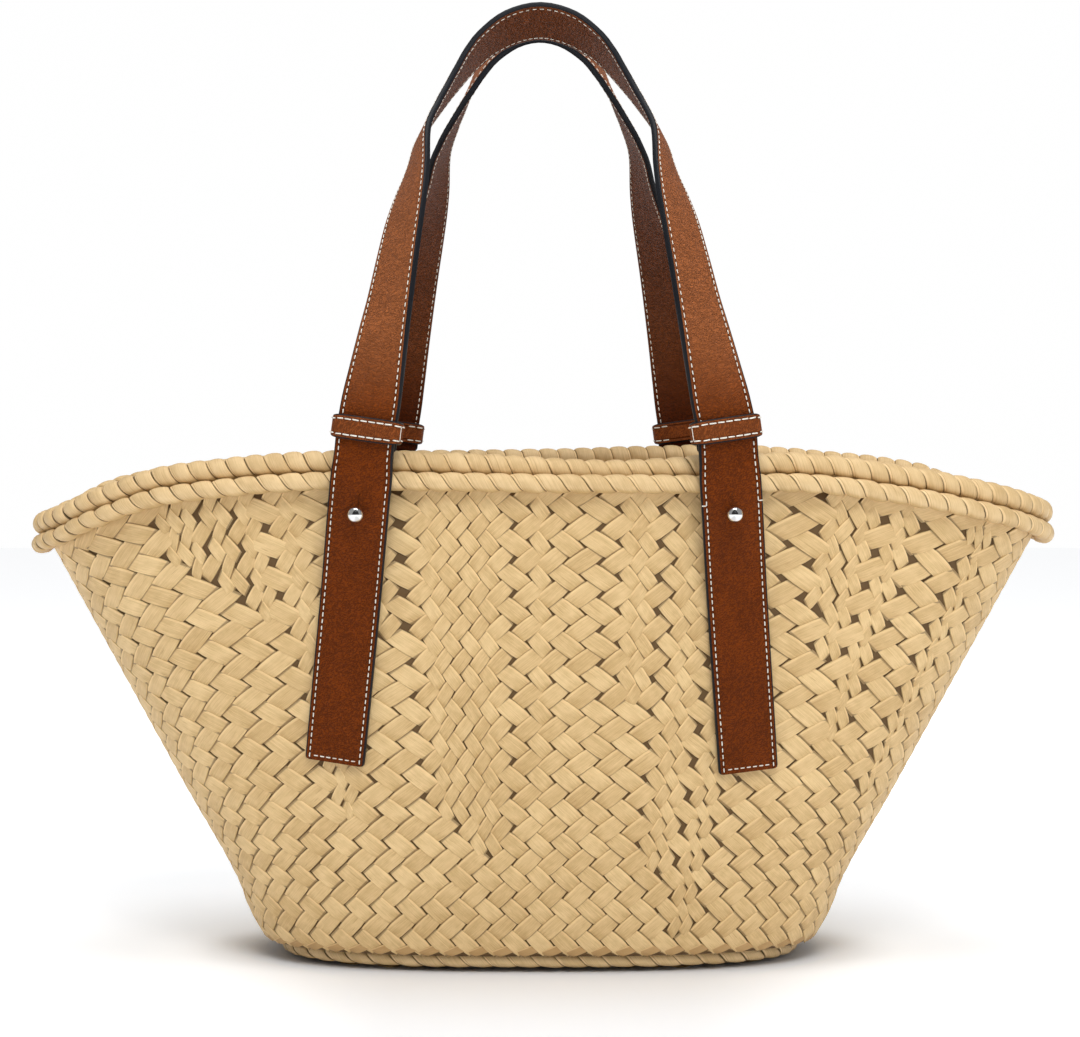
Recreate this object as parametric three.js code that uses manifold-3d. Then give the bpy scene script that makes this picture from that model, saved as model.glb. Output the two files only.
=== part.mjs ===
import * as THREE from 'three';
import { mergeVertices } from 'three/addons/utils/BufferGeometryUtils.js';
import Module from 'manifold-3d';

// A straw basket bag: a plaited palm-leaf shell with wrapped rolls at the rim and the foot,
// and two leather strap handles held by keeper loops and ball studs.
// Millimetres, +Z up, front towards -Y, origin under the middle of the base.

const wasm = await Module();
wasm.setup();

// Overall form of the basket
const rimLength = 502; // over the upper roll, end to end
const rimDepth = 216; // over the lower roll, front to back
const rimHeight = 247; // top of the upper roll beside the front straps
const footLength = 254; // over the base roll
const footDepth = 137;
const wallThickness = 3;
const floorThickness = 3;
const clearance = 0.3; // between neighbouring pieces

// Wrapped rolls
const upperRollDiameter = 11;
const lowerRollDiameter = 9;
const baseRollDiameter = 6.8;
const edgeRoom = 0.6; // between the wall's edge and the upper roll

// Leather
const strapWidth = 28.5;
const strapThickness = 3;
const strapEdgeChamfer = 0.7;
const strapCornerRadius = 1.5;
const strapFootDrop = 147.2; // from the rim down to the lower end of the hanging tabs
const strapFootSpread = 95.8; // from the middle of the bag to the middle of a tab's end
const handleRise = 207.5; // from the rim up to the middle of the strap at the top of the arch
const keeperSpread = 79.3; // from the middle of the bag to the middle of a keeper
const keeperRise = 9.3; // from the rim up to the middle of the keepers
const keeperTurn = 17; // degrees that the strap has turned where it passes the keeper
const keeperBand = 11.2; // height of the loop
const keeperLeather = 2;
const keeperCornerRadius = 3.2;
const keeperRoom = 0.55; // between the loop and what it holds
const backingThickness = 2;
const backingWidth = 29;
const backingLength = 14.5;
const backingDrop = 1.5; // from the middle of the keeper to the middle of the backing
const roomOverRoll = 0.8; // the strap stands this far off the lower roll
const roomOverWall = 0.6;
const bridgeDrop = 82; // from the rim down to where the strap leaves the wall

// Ball studs
const studDrop = 28; // from the rim down to the middle of a stud
const ballDiameter = 7.8;
const neckDiameter = 3.4;
const neckLength = 0.9; // between the strap and the ball
const collarDiameter = 8.6;
const collarThickness = 1.1;
const postDiameter = 4;
const headDiameter = 9;
const headThickness = 1.2;
const studRoom = 0.35; // round the neck and the post, and beside the collar and the head
const slitLength = 6.5; // cut in the strap above the neck
const slitWidth = 0.5;
const slitEndDiameter = 1.2;

// Facets
const ringSides = 60;
const rollSides = 8;
const tabStep = 24; // largest distance between sections of the strap
const archStep = 13;
const studSides = 10;
const ballBands = 5;
const slitEndSides = 6;

const fullTurn = 2 * Math.PI;
const turnStep = 1 / 1024; // for slopes taken along the rim, as a share of a turn
const halvings = 30; // enough to find a place on a strap to a thousandth of a millimetre
const upperRadius = upperRollDiameter / 2;
const lowerRadius = lowerRollDiameter / 2;
const baseRadius = baseRollDiameter / 2;
const strapFootHeight = rimHeight - strapFootDrop;
const bridgeFootHeight = rimHeight - bridgeDrop;
const studHeight = rimHeight - studDrop;
const keeperHeight = rimHeight + keeperRise;
const handleHeight = rimHeight + handleRise;

// How far the wall has flared between the foot and the rim, at shares of the rim's height.
const flareRows = [
  { rise: 0.0, length: 0.0, depth: 0.0 },
  { rise: 0.02, length: 0.042, depth: 0.09 },
  { rise: 0.06, length: 0.1, depth: 0.17 },
  { rise: 0.1, length: 0.142, depth: 0.235 },
  { rise: 0.142, length: 0.174, depth: 0.29 },
  { rise: 0.33, length: 0.39, depth: 0.45 },
  { rise: 0.6, length: 0.698, depth: 0.675 },
  { rise: 0.866, length: 1.0, depth: 0.9 },
  { rise: 1.0, length: 1.152, depth: 1.0 },
];
const footPower = 2.7; // how square the plan is at the foot, where 2 is an ellipse
const rimPower = 2.1;

// The rim dips at both ends of the bag and a little between the front straps.
// turn: share of a full turn from the right end through the back; top: share of the rim's height;
// stack: how far the upper roll stands above the lower one, as a share of its usual place.
const rimRows = [
  { turn: 0.0, top: 0.894, stack: 1 },
  { turn: 0.059, top: 0.922, stack: 1 },
  { turn: 0.093, top: 0.943, stack: 1 },
  { turn: 0.116, top: 0.972, stack: 1 },
  { turn: 0.15, top: 0.993, stack: 1 },
  { turn: 0.196, top: 1.009, stack: 1 },
  { turn: 0.25, top: 1.0, stack: 1 },
  { turn: 0.31, top: 0.994, stack: 1 },
  { turn: 0.36, top: 0.977, stack: 1 },
  { turn: 0.41, top: 0.943, stack: 1 },
  { turn: 0.45, top: 0.9, stack: 1 },
  { turn: 0.5, top: 0.874, stack: 1 },
  { turn: 0.555, top: 0.89, stack: 1 },
  { turn: 0.593, top: 0.926, stack: 1 },
  { turn: 0.641, top: 0.976, stack: 1 },
  { turn: 0.7, top: 1.0, stack: 1 },
  { turn: 0.735, top: 0.994, stack: 0.9 },
  { turn: 0.767, top: 0.982, stack: 0.6 },
  { turn: 0.795, top: 0.991, stack: 0.9 },
  { turn: 0.817, top: 0.996, stack: 1 },
  { turn: 0.867, top: 0.968, stack: 1 },
  { turn: 0.896, top: 0.947, stack: 1 },
  { turn: 0.936, top: 0.921, stack: 1 },
  { turn: 0.965, top: 0.905, stack: 1 },
];

// How far the strap has left the wall on its way up to the lower roll.
const bridgeRows = [
  { rise: 0.0, bridge: 0.0 },
  { rise: 0.3, bridge: 0.14 },
  { rise: 0.58, bridge: 0.55 },
  { rise: 0.82, bridge: 0.9 },
  { rise: 1.0, bridge: 1.0 },
];

// The strap from the keeper to the top of the arch. rise: share of the height between them;
// across and out: shares of the keeper's distance from the middle; turn: degrees from facing forward.
const archRows = [
  { rise: 0.0, across: 1.0, out: 1.0, turn: keeperTurn },
  { rise: 0.05, across: 0.979, out: 1.0, turn: keeperTurn },
  { rise: 0.132, across: 0.942, out: 0.993, turn: 27 },
  { rise: 0.213, across: 0.906, out: 0.98, turn: 36 },
  { rise: 0.299, across: 0.867, out: 0.957, turn: 44 },
  { rise: 0.409, across: 0.823, out: 0.9, turn: 50 },
  { rise: 0.502, across: 0.786, out: 0.81, turn: 55 },
  { rise: 0.601, across: 0.744, out: 0.667, turn: 66 },
  { rise: 0.698, across: 0.705, out: 0.505, turn: 80 },
  { rise: 0.751, across: 0.655, out: 0.4, turn: 86 },
  { rise: 0.804, across: 0.585, out: 0.315, turn: 91 },
  { rise: 0.855, across: 0.508, out: 0.255, turn: 96 },
  { rise: 0.902, across: 0.428, out: 0.215, turn: 102 },
  { rise: 0.943, across: 0.335, out: 0.19, turn: 108 },
  { rise: 0.984, across: 0.178, out: 0.168, turn: 115 },
  { rise: 1.0, across: 0.0, out: 0.162, turn: 117 },
];

// How the legs differ. swing: how far out of the common line at the keeper; foot: how far the tab's
// end sits above the common height; pinch: how much closer the leg comes in under the arch.
const legs = [
  { name: 'front_left', side: -1, face: -1, swing: 0, foot: 1.2, pinch: 0 },
  { name: 'front_right', side: 1, face: -1, swing: 6, foot: -3, pinch: 0 },
  { name: 'back_left', side: -1, face: 1, swing: -0.8, foot: 0.8, pinch: 5.5 },
  { name: 'back_right', side: 1, face: 1, swing: -2.6, foot: -0.8, pinch: 5.5 },
];
const footSwing = 0.25; // share of the swing that reaches the tab's end
const swingFade = 1.5; // how fast it dies out up the arch
const pinchPower = 4; // puts the greatest pinch at four fifths of the height above the keeper

const straw = new THREE.MeshStandardMaterial({ color: 0xcfac78, roughness: 0.62, metalness: 0 });
const leafRoll = new THREE.MeshStandardMaterial({ color: 0xe2c595, roughness: 0.55, metalness: 0 });
const leather = new THREE.MeshStandardMaterial({ color: 0x7a4020, roughness: 0.48, metalness: 0 });
const steel = new THREE.MeshStandardMaterial({ color: 0xc8c9cc, roughness: 0.12, metalness: 1 });

// A table's column between its rows, on a curve that never overshoots them.
function smoothBetween(places, values, at) {
  const last = places.length - 1;
  const slope = (k) => (values[k + 1] - values[k]) / (places[k + 1] - places[k]);
  const easeAt = (k) => {
    if (k === 0) return slope(0);
    if (k === last) return slope(last - 1);
    const before = slope(k - 1);
    const after = slope(k);
    return before * after <= 0 ? 0 : (2 * before * after) / (before + after);
  };
  if (at >= places[last]) return values[last] + slope(last - 1) * (at - places[last]);
  let row = 0;
  while (at > places[row + 1]) row += 1;
  const span = places[row + 1] - places[row];
  const t = (at - places[row]) / span;
  const startWeight = (1 + 2 * t) * (1 - t) * (1 - t);
  const endWeight = t * t * (3 - 2 * t);
  const startEase = t * (1 - t) * (1 - t) * span * easeAt(row);
  const endEase = t * t * (t - 1) * span * easeAt(row + 1);
  return values[row] * startWeight + values[row + 1] * endWeight + startEase + endEase;
}

const flareHeights = flareRows.map((row) => row.rise * rimHeight);

function flareAt(column, height) {
  return smoothBetween(flareHeights, flareRows.map((row) => row[column]), height);
}

// The rim's table goes once round, so its ends are repeated past a full turn.
const rimRound = [
  ...rimRows.slice(-2).map((row) => ({ ...row, turn: row.turn - 1 })),
  ...rimRows,
  ...rimRows.slice(0, 2).map((row) => ({ ...row, turn: row.turn + 1 })),
];
const rimTurns = rimRound.map((row) => row.turn);

function rimAt(column, turn) {
  const values = rimRound.map((row) => row[column]);
  return smoothBetween(rimTurns, values, THREE.MathUtils.euclideanModulo(turn, 1));
}

// The wall's outer face: half sizes of its plan at the rim and at the foot.
const rimHalfLength = rimLength / 2 - upperRadius + wallThickness / 2;
const rimHalfDepth = rimDepth / 2 - lowerRollDiameter - clearance;
const footHalfLength = footLength / 2;
const footHalfDepth = footDepth / 2;

function planAt(height) {
  return {
    length: footHalfLength + (rimHalfLength - footHalfLength) * flareAt('length', height),
    depth: footHalfDepth + (rimHalfDepth - footHalfDepth) * flareAt('depth', height),
    power: THREE.MathUtils.lerp(footPower, rimPower, Math.min(height / rimHeight, 1)),
  };
}

// A point of a squared oval, moved out along its level normal.
function ovalPoint(plan, turn, outset, height) {
  const cos = Math.cos(turn * fullTurn);
  const sin = Math.sin(turn * fullTurn);
  const bend = 2 / plan.power;
  const normal = new THREE.Vector3(
    (Math.sign(cos) * Math.abs(cos) ** (2 - bend)) / plan.length,
    (Math.sign(sin) * Math.abs(sin) ** (2 - bend)) / plan.depth,
    0,
  ).normalize();
  return new THREE.Vector3(
    plan.length * Math.sign(cos) * Math.abs(cos) ** bend,
    plan.depth * Math.sign(sin) * Math.abs(sin) ** bend,
    height,
  ).addScaledVector(normal, outset);
}

function wallPoint(turn, height) {
  return ovalPoint(planAt(height), turn, 0, height);
}

// A place on the wall with the directions out of its face and up its slope.
function wallFrame(turn, height) {
  const point = wallPoint(turn, height);
  const along = wallPoint(turn + turnStep, height).sub(wallPoint(turn - turnStep, height)).normalize();
  const rise = wallPoint(turn, height + 1).sub(point);
  const out = along.clone().cross(rise).normalize();
  return { point, out, up: out.clone().cross(along).normalize() };
}

// The lower roll lies against the wall. The upper one rests on the wall's edge and on the lower one.
const rollsApart = upperRadius + lowerRadius + clearance;
const lowerOffset = lowerRadius + clearance;
const usualStack = Math.sqrt(rollsApart ** 2 - (lowerOffset + wallThickness / 2) ** 2);

function rimPlaces(turn) {
  const climb = rimHeight * (rimAt('top', turn + turnStep) - rimAt('top', turn - turnStep));
  const run = wallPoint(turn + turnStep, rimHeight).distanceTo(wallPoint(turn - turnStep, rimHeight));
  const slant = Math.hypot(climb, run) / run;
  const middleHeight = rimHeight * rimAt('top', turn) - upperRadius;
  const stack = usualStack * rimAt('stack', turn);
  const inward = lowerOffset - Math.sqrt(rollsApart ** 2 - stack ** 2);
  const lean = wallFrame(turn, middleHeight - usualStack);
  const seatHeight = middleHeight - lean.up.z * stack * slant - lean.out.z * inward;
  const seat = wallFrame(turn, seatHeight);
  return {
    lower: seat.point.clone().addScaledVector(seat.out, lowerOffset),
    upper: seat.point.clone().addScaledVector(seat.up, stack * slant).addScaledVector(seat.out, inward),
    edgeHeight: seatHeight + seat.up.z * (stack - upperRadius - edgeRoom) * slant,
  };
}

// A closed mesh from rings of points, capped at both ends or joined back to its start.
function ringMesh(rings, closed) {
  const count = rings[0].length;
  const points = rings.flat();
  const faces = [];
  const join = (first, second) => {
    for (let k = 0; k < count; k += 1) {
      const next = (k + 1) % count;
      const corners = [first * count + k, first * count + next, second * count + next, second * count + k];
      faces.push(corners[0], corners[1], corners[2], corners[0], corners[2], corners[3]);
    }
  };
  const cap = (ring, flip) => {
    const middle = new THREE.Vector3();
    rings[ring].forEach((point) => middle.addScaledVector(point, 1 / count));
    const tip = points.push(middle) - 1;
    for (let k = 0; k < count; k += 1) {
      const here = ring * count + k;
      const next = ring * count + ((k + 1) % count);
      faces.push(...(flip ? [next, here, tip] : [here, next, tip]));
    }
  };
  for (let ring = 0; ring < rings.length - 1; ring += 1) join(ring, ring + 1);
  if (closed) join(rings.length - 1, 0);
  else {
    cap(0, true);
    cap(rings.length - 1, false);
  }
  const geometry = new THREE.BufferGeometry().setFromPoints(points);
  geometry.setIndex(faces);
  return geometry;
}

function solidOf(geometry, place) {
  const bare = geometry.clone();
  bare.deleteAttribute('normal');
  bare.deleteAttribute('uv');
  if (place) bare.applyMatrix4(place);
  const merged = mergeVertices(bare, 1e-4);
  return new wasm.Manifold(new wasm.Mesh({
    numProp: 3,
    vertProperties: new Float32Array(merged.attributes.position.array),
    triVerts: new Uint32Array(merged.index.array),
  }));
}

function geometryOf(solid) {
  const mesh = solid.getMesh();
  const geometry = new THREE.BufferGeometry();
  geometry.setAttribute('position', new THREE.BufferAttribute(mesh.vertProperties, mesh.numProp));
  geometry.setIndex(new THREE.BufferAttribute(mesh.triVerts, 1));
  return geometry;
}

const group = new THREE.Group();

function addPiece(name, geometry, material, place) {
  geometry.computeVertexNormals();
  const mesh = new THREE.Mesh(geometry, material);
  mesh.name = name;
  if (place) mesh.applyMatrix4(place);
  group.add(mesh);
}

function turnsAround(sides) {
  return Array.from({ length: sides }, (_, k) => k / sides);
}

// The base roll's middle line. The basket's corner bends round the roll and keeps off it.
const baseRollPlan = {
  length: footLength / 2 - baseRadius,
  depth: footDepth / 2 - baseRadius,
  power: footPower,
};
const cornerKeep = baseRadius + clearance;

function cornerRing(inset, height) {
  return turnsAround(ringSides).map((turn) => ovalPoint(baseRollPlan, turn, -inset, height));
}

function wallRing(share, depth) {
  const low = baseRadius + cornerKeep;
  return turnsAround(ringSides).map((turn) => {
    const height = THREE.MathUtils.lerp(low, rimPlaces(turn).edgeHeight, share);
    const { point, out } = wallFrame(turn, height);
    return point.addScaledVector(out, -depth);
  });
}

function bodyGeometry() {
  const outerShares = [0, 0.036, 0.08, 0.13, 0.3, 0.52, 0.76, 1];
  const innerShares = [1, 0.76, 0.52, 0.3, 0.13, 0.08, 0.045];
  const diagonal = Math.SQRT1_2;
  const keepInside = cornerKeep + wallThickness;
  return ringMesh([
    cornerRing(cornerKeep, 0),
    cornerRing(cornerKeep, baseRadius),
    cornerRing(cornerKeep * diagonal, baseRadius + cornerKeep * diagonal),
    cornerRing(0, baseRadius + cornerKeep),
    ...outerShares.map((share) => wallRing(share, 0)),
    ...innerShares.map((share) => wallRing(share, wallThickness)),
    cornerRing(0, baseRadius + keepInside),
    cornerRing(keepInside * diagonal, baseRadius + keepInside * diagonal),
    cornerRing(keepInside, baseRadius + floorThickness / 2),
    cornerRing(keepInside + floorThickness / 2, floorThickness),
  ], false);
}

// A roll round the basket: a round section at each turn, square to the roll's middle line.
function rollGeometry(middleAt, radius) {
  return ringMesh(turnsAround(ringSides).map((turn) => {
    const along = middleAt(turn + turnStep).sub(middleAt(turn - turnStep)).normalize();
    const out = along.clone().cross(new THREE.Vector3(0, 0, 1)).normalize();
    const up = out.clone().cross(along).normalize();
    return turnsAround(rollSides).map((share) => middleAt(turn)
      .addScaledVector(out, radius * Math.cos(share * fullTurn))
      .addScaledVector(up, -radius * Math.sin(share * fullTurn)));
  }), true);
}

// Where round the basket its wall passes a distance from the middle of the bag.
function turnAtAcross(leg, across, height) {
  const plan = planAt(height);
  const angle = Math.acos(Math.min(across / plan.length, 1) ** (plan.power / 2));
  const half = leg.side > 0 ? angle : Math.PI - angle;
  return (leg.face > 0 ? half : fullTurn - half) / fullTurn;
}

// The points of one leg of a strap, from the tab's end up to the top of the arch.
function legPoints(leg) {
  const half = strapThickness / 2;
  const keeperAcross = keeperSpread + leg.swing;
  const footAcross = strapFootSpread + leg.swing * footSwing;
  const footHeight = strapFootHeight + leg.foot;
  const acrossAt = (height) => THREE.MathUtils.mapLinear(
    height, footHeight, keeperHeight, footAcross, keeperAcross,
  );
  const onWall = (height) => {
    const frame = wallFrame(turnAtAcross(leg, acrossAt(height), height), height);
    return {
      across: acrossAt(height),
      out: Math.abs(frame.point.y) + (half + roomOverWall) / Math.abs(frame.out.y),
      height,
      turn: THREE.MathUtils.radToDeg(Math.atan2(Math.abs(frame.out.x), Math.abs(frame.out.y))),
    };
  };
  const roll = rimPlaces(turnAtAcross(leg, keeperAcross, rimHeight)).lower;
  const overRoll = Math.abs(roll.y) + lowerRadius + half + roomOverRoll;
  const lift = overRoll - onWall(roll.z).out;
  const points = [];
  for (const share of [0, 0.35, 0.7]) {
    points.push(onWall(THREE.MathUtils.lerp(footHeight, bridgeFootHeight, share)));
  }
  for (const row of bridgeRows) {
    const seat = onWall(THREE.MathUtils.lerp(bridgeFootHeight, roll.z, row.rise));
    points.push({ ...seat, out: seat.out + lift * row.bridge });
  }
  const between = (roll.z + keeperHeight) / 2;
  points.push({ across: acrossAt(between), out: overRoll, height: between, turn: keeperTurn });
  const pinchAt = (rise) => rise ** pinchPower * (1 - rise);
  const greatestPinch = pinchAt(pinchPower / (pinchPower + 1));
  for (const row of archRows) {
    const swing = leg.swing * (1 - row.rise) ** swingFade;
    const pinch = (leg.pinch * pinchAt(row.rise)) / greatestPinch;
    points.push({
      across: row.across * keeperSpread + swing - pinch,
      out: row.out * overRoll,
      height: THREE.MathUtils.lerp(keeperHeight, handleHeight, row.rise),
      turn: row.turn,
    });
  }
  return points;
}

// A strap's middle line through both legs, with the direction across its width at any place.
function strapPath(face) {
  const [left, right] = legs.filter((leg) => leg.face === face);
  const leftPoints = legPoints(left);
  const rightPoints = legPoints(right).reverse().slice(1);
  const point = (side) => (p) => new THREE.Vector3(side * p.across, face * p.out, p.height);
  const middles = [...leftPoints.map(point(-1)), ...rightPoints.map(point(1))];
  const turns = [...leftPoints, ...rightPoints].map((p) => p.turn);
  const curve = new THREE.CatmullRomCurve3(middles, false, 'centripetal');
  const places = middles.map((_, k) => k);
  const last = middles.length - 1;
  const frameAt = (place) => {
    const along = curve.getTangent(place / last);
    const inward = new THREE.Vector3(0, 1, 0).cross(along).normalize();
    const front = inward.clone().cross(along).multiplyScalar(-face);
    const turn = THREE.MathUtils.degToRad(smoothBetween(places, turns, place));
    const across = inward.multiplyScalar(Math.cos(turn)).addScaledVector(front, Math.sin(turn));
    return { middle: curve.getPoint(place / last), along, across, out: across.clone().cross(along) };
  };
  return { middles, last, frameAt, face, keeperIndex: leftPoints.length - archRows.length };
}

// The place of a height on one leg, found by halving.
function placeOf(path, side, height) {
  let low = side < 0 ? 0 : path.last;
  let high = side < 0 ? path.keeperIndex : path.last - path.keeperIndex;
  for (let k = 0; k < halvings; k += 1) {
    const middle = (low + high) / 2;
    if (path.frameAt(middle).middle.z < height) low = middle;
    else high = middle;
  }
  return (low + high) / 2;
}

// A strap's frame as a matrix: x across its width, y up along it, z out of its outer face.
function matrixAt(path, place) {
  const frame = path.frameAt(place);
  const out = frame.out.clone().multiplyScalar(-path.face);
  const across = frame.across.clone();
  const up = out.clone().cross(across);
  if (up.z < 0) {
    up.negate();
    across.negate();
  }
  return new THREE.Matrix4().makeBasis(across, up, out).setPosition(frame.middle);
}

function roundedOutline(width, height, radius) {
  const shape = new THREE.Shape();
  const x = width / 2;
  const y = height / 2;
  shape.moveTo(x, -y + radius);
  shape.absarc(x - radius, y - radius, radius, 0, Math.PI / 2, false);
  shape.absarc(-x + radius, y - radius, radius, Math.PI / 2, Math.PI, false);
  shape.absarc(-x + radius, -y + radius, radius, Math.PI, Math.PI * 1.5, false);
  shape.absarc(x - radius, -y + radius, radius, Math.PI * 1.5, fullTurn, false);
  return shape;
}

// A strap's section at a place: a flat bar with its long edges taken off.
function strapSection(path, place, inset) {
  const { middle, across, out } = path.frameAt(place);
  const x = strapWidth / 2 - inset;
  const y = strapThickness / 2;
  const c = strapEdgeChamfer;
  const outline = [
    [x, c - y], [x, y - c], [x - c, y], [c - x, y],
    [-x, y - c], [-x, c - y], [c - x, -y], [x - c, -y],
  ];
  return outline.map(([w, t]) => middle.clone().addScaledVector(across, w).addScaledVector(out, -t));
}

function strapGeometry(path) {
  const rings = [];
  const cornerSections = [0, 0.3, 1].map((share) => ({
    distance: share * strapCornerRadius,
    inset: strapCornerRadius * (1 - Math.sqrt(1 - (1 - share) ** 2)),
  }));
  for (let k = 0; k < path.last; k += 1) {
    const length = path.middles[k].distanceTo(path.middles[k + 1]);
    const hanging = k < path.keeperIndex || k >= path.last - path.keeperIndex;
    const steps = Math.ceil(length / (hanging ? tabStep : archStep));
    if (k === 0) {
      cornerSections.forEach((row) => rings.push(strapSection(path, row.distance / length, row.inset)));
    }
    for (let step = k === 0 ? 1 : 0; step < steps; step += 1) {
      rings.push(strapSection(path, k + step / steps, 0));
    }
    if (k === path.last - 1) {
      [...cornerSections].reverse().forEach((row) => {
        rings.push(strapSection(path, path.last - row.distance / length, row.inset));
      });
    }
  }
  return ringMesh(rings, false);
}

// The hole for a stud's neck with the slit above it that lets the ball through.
function strapCuts(path, leg) {
  const place = matrixAt(path, placeOf(path, leg.side, studHeight));
  const depth = strapThickness * 2;
  const holeRadius = neckDiameter / 2 + studRoom;
  const hole = new THREE.CylinderGeometry(holeRadius, holeRadius, depth, studSides).rotateX(Math.PI / 2);
  const slit = new THREE.BoxGeometry(slitWidth, holeRadius + slitLength, depth)
    .translate(0, (holeRadius + slitLength) / 2, 0);
  const slitEnd = new THREE.CylinderGeometry(slitEndDiameter / 2, slitEndDiameter / 2, depth, slitEndSides)
    .rotateX(Math.PI / 2)
    .translate(0, holeRadius + slitLength, 0);
  return [hole, slit, slitEnd].map((geometry) => solidOf(geometry, place)).reduce((all, one) => all.add(one));
}

// The distance from a stud's place in the strap back to the wall, and the wall's slant there.
function studReach(path, leg) {
  const place = placeOf(path, leg.side, studHeight);
  const { middle, out } = path.frameAt(place);
  const inward = out.clone().multiplyScalar(path.face);
  const point = middle.clone();
  let distance = 0;
  for (let k = 0; k < halvings; k += 1) {
    const turn = turnAtAcross(leg, Math.abs(point.x), point.z);
    distance += Math.abs(point.y) - Math.abs(wallPoint(turn, point.z).y);
    point.copy(middle).addScaledVector(inward, distance);
  }
  const wallOut = wallFrame(turnAtAcross(leg, Math.abs(point.x), point.z), point.z).out;
  return { distance, slant: wallOut.angleTo(inward.negate()) };
}

// A ball stud on its own axis: ball, neck, collar behind the strap, post through the wall, inner head.
function studGeometry(reach) {
  const face = strapThickness / 2;
  const ballRadius = ballDiameter / 2;
  const neckRadius = neckDiameter / 2;
  const ballMiddle = face + neckLength + Math.sqrt(ballRadius ** 2 - neckRadius ** 2);
  const collarTop = -face - clearance;
  const headTilt = (headDiameter / 2) * Math.tan(reach.slant);
  const headTop = -reach.distance - wallThickness / Math.cos(reach.slant) - headTilt - studRoom;
  const profile = [
    [0, headTop - headThickness],
    [headDiameter / 2 - headThickness / 2, headTop - headThickness],
    [headDiameter / 2, headTop - headThickness / 2],
    [headDiameter / 2, headTop],
    [postDiameter / 2, headTop],
    [postDiameter / 2, collarTop - collarThickness],
    [collarDiameter / 2, collarTop - collarThickness],
    [collarDiameter / 2, collarTop],
    [neckRadius, collarTop],
  ];
  const startAngle = -Math.acos(neckRadius / ballRadius);
  for (let band = 0; band < ballBands; band += 1) {
    const angle = THREE.MathUtils.lerp(startAngle, Math.PI / 2, band / ballBands);
    profile.push([ballRadius * Math.cos(angle), ballMiddle + ballRadius * Math.sin(angle)]);
  }
  profile.push([0, ballMiddle + ballRadius]);
  const points = profile.map(([radius, height]) => new THREE.Vector2(radius, height));
  return new THREE.LatheGeometry(points, studSides).rotateX(Math.PI / 2);
}

// The hole that a stud's post passes through.
function wallCut(path, leg) {
  const reach = studReach(path, leg);
  const radius = postDiameter / 2 + studRoom;
  const depth = wallThickness * 4;
  const hole = new THREE.CylinderGeometry(radius, radius, depth, studSides)
    .rotateX(Math.PI / 2)
    .translate(0, 0, -reach.distance - wallThickness / 2);
  return solidOf(hole, matrixAt(path, placeOf(path, leg.side, studHeight)));
}

function keeperGeometry() {
  const inside = {
    width: Math.max(strapWidth, backingWidth) + 2 * keeperRoom,
    depth: strapThickness + clearance + backingThickness + 2 * keeperRoom,
  };
  const shape = roundedOutline(
    inside.width + 2 * keeperLeather,
    inside.depth + 2 * keeperLeather,
    keeperCornerRadius,
  );
  const holeRadius = Math.max(keeperCornerRadius - keeperLeather, keeperRoom);
  shape.holes.push(roundedOutline(inside.width, inside.depth, holeRadius));
  return new THREE.ExtrudeGeometry(shape, { depth: keeperBand, bevelEnabled: false, curveSegments: 3 })
    .translate(0, -(clearance + backingThickness) / 2, -keeperBand / 2)
    .rotateX(Math.PI / 2);
}

// The second layer of leather behind the strap. It shows under the keeper.
function backingGeometry() {
  const shape = roundedOutline(backingWidth, backingLength, strapCornerRadius);
  return new THREE.ExtrudeGeometry(shape, { depth: backingThickness, bevelEnabled: false, curveSegments: 2 })
    .translate(0, -backingDrop, -strapThickness / 2 - clearance - backingThickness);
}

const straps = [
  { name: 'front_handle', path: strapPath(-1) },
  { name: 'back_handle', path: strapPath(1) },
];
const pathOf = (leg) => straps.find((strap) => strap.path.face === leg.face).path;

const body = legs.reduce((solid, leg) => solid.subtract(wallCut(pathOf(leg), leg)), solidOf(bodyGeometry()));
addPiece('basket_body', geometryOf(body), straw);
addPiece('upper_rim_roll', rollGeometry((turn) => rimPlaces(turn).upper, upperRadius), leafRoll);
addPiece('lower_rim_roll', rollGeometry((turn) => rimPlaces(turn).lower, lowerRadius), leafRoll);
const baseRollMiddle = (turn) => ovalPoint(baseRollPlan, turn, 0, baseRadius);
addPiece('base_roll', rollGeometry(baseRollMiddle, baseRadius), leafRoll);

for (const { name, path } of straps) {
  const cuts = legs.filter((leg) => leg.face === path.face).map((leg) => strapCuts(path, leg));
  const strap = cuts.reduce((solid, cut) => solid.subtract(cut), solidOf(strapGeometry(path)));
  addPiece(name, geometryOf(strap), leather);
}

for (const leg of legs) {
  const path = pathOf(leg);
  const keeperPlace = leg.side < 0 ? path.keeperIndex : path.last - path.keeperIndex;
  const keeperMatrix = matrixAt(path, keeperPlace);
  addPiece(`${leg.name}_keeper`, keeperGeometry(), leather, keeperMatrix);
  addPiece(`${leg.name}_backing`, backingGeometry(), leather, keeperMatrix);
  const studMatrix = matrixAt(path, placeOf(path, leg.side, studHeight));
  addPiece(`${leg.name}_stud`, studGeometry(studReach(path, leg)), steel, studMatrix);
}

export default group;
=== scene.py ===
import math

import bmesh
import bpy
import numpy as np
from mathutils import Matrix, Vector


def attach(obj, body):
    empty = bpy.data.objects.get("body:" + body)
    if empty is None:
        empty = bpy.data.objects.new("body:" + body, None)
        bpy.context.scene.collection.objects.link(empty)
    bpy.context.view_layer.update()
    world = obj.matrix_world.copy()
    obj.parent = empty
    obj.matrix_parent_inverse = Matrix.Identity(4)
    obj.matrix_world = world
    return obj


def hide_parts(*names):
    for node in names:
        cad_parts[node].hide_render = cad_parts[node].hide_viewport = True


# A straw basket bag in plaited palm leaf with two leather strap handles.
# Lengths in this file are millimetres until a mesh is made, where they become metres.
# The wall and the straps follow the same rules and tables as the part's own source.

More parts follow.
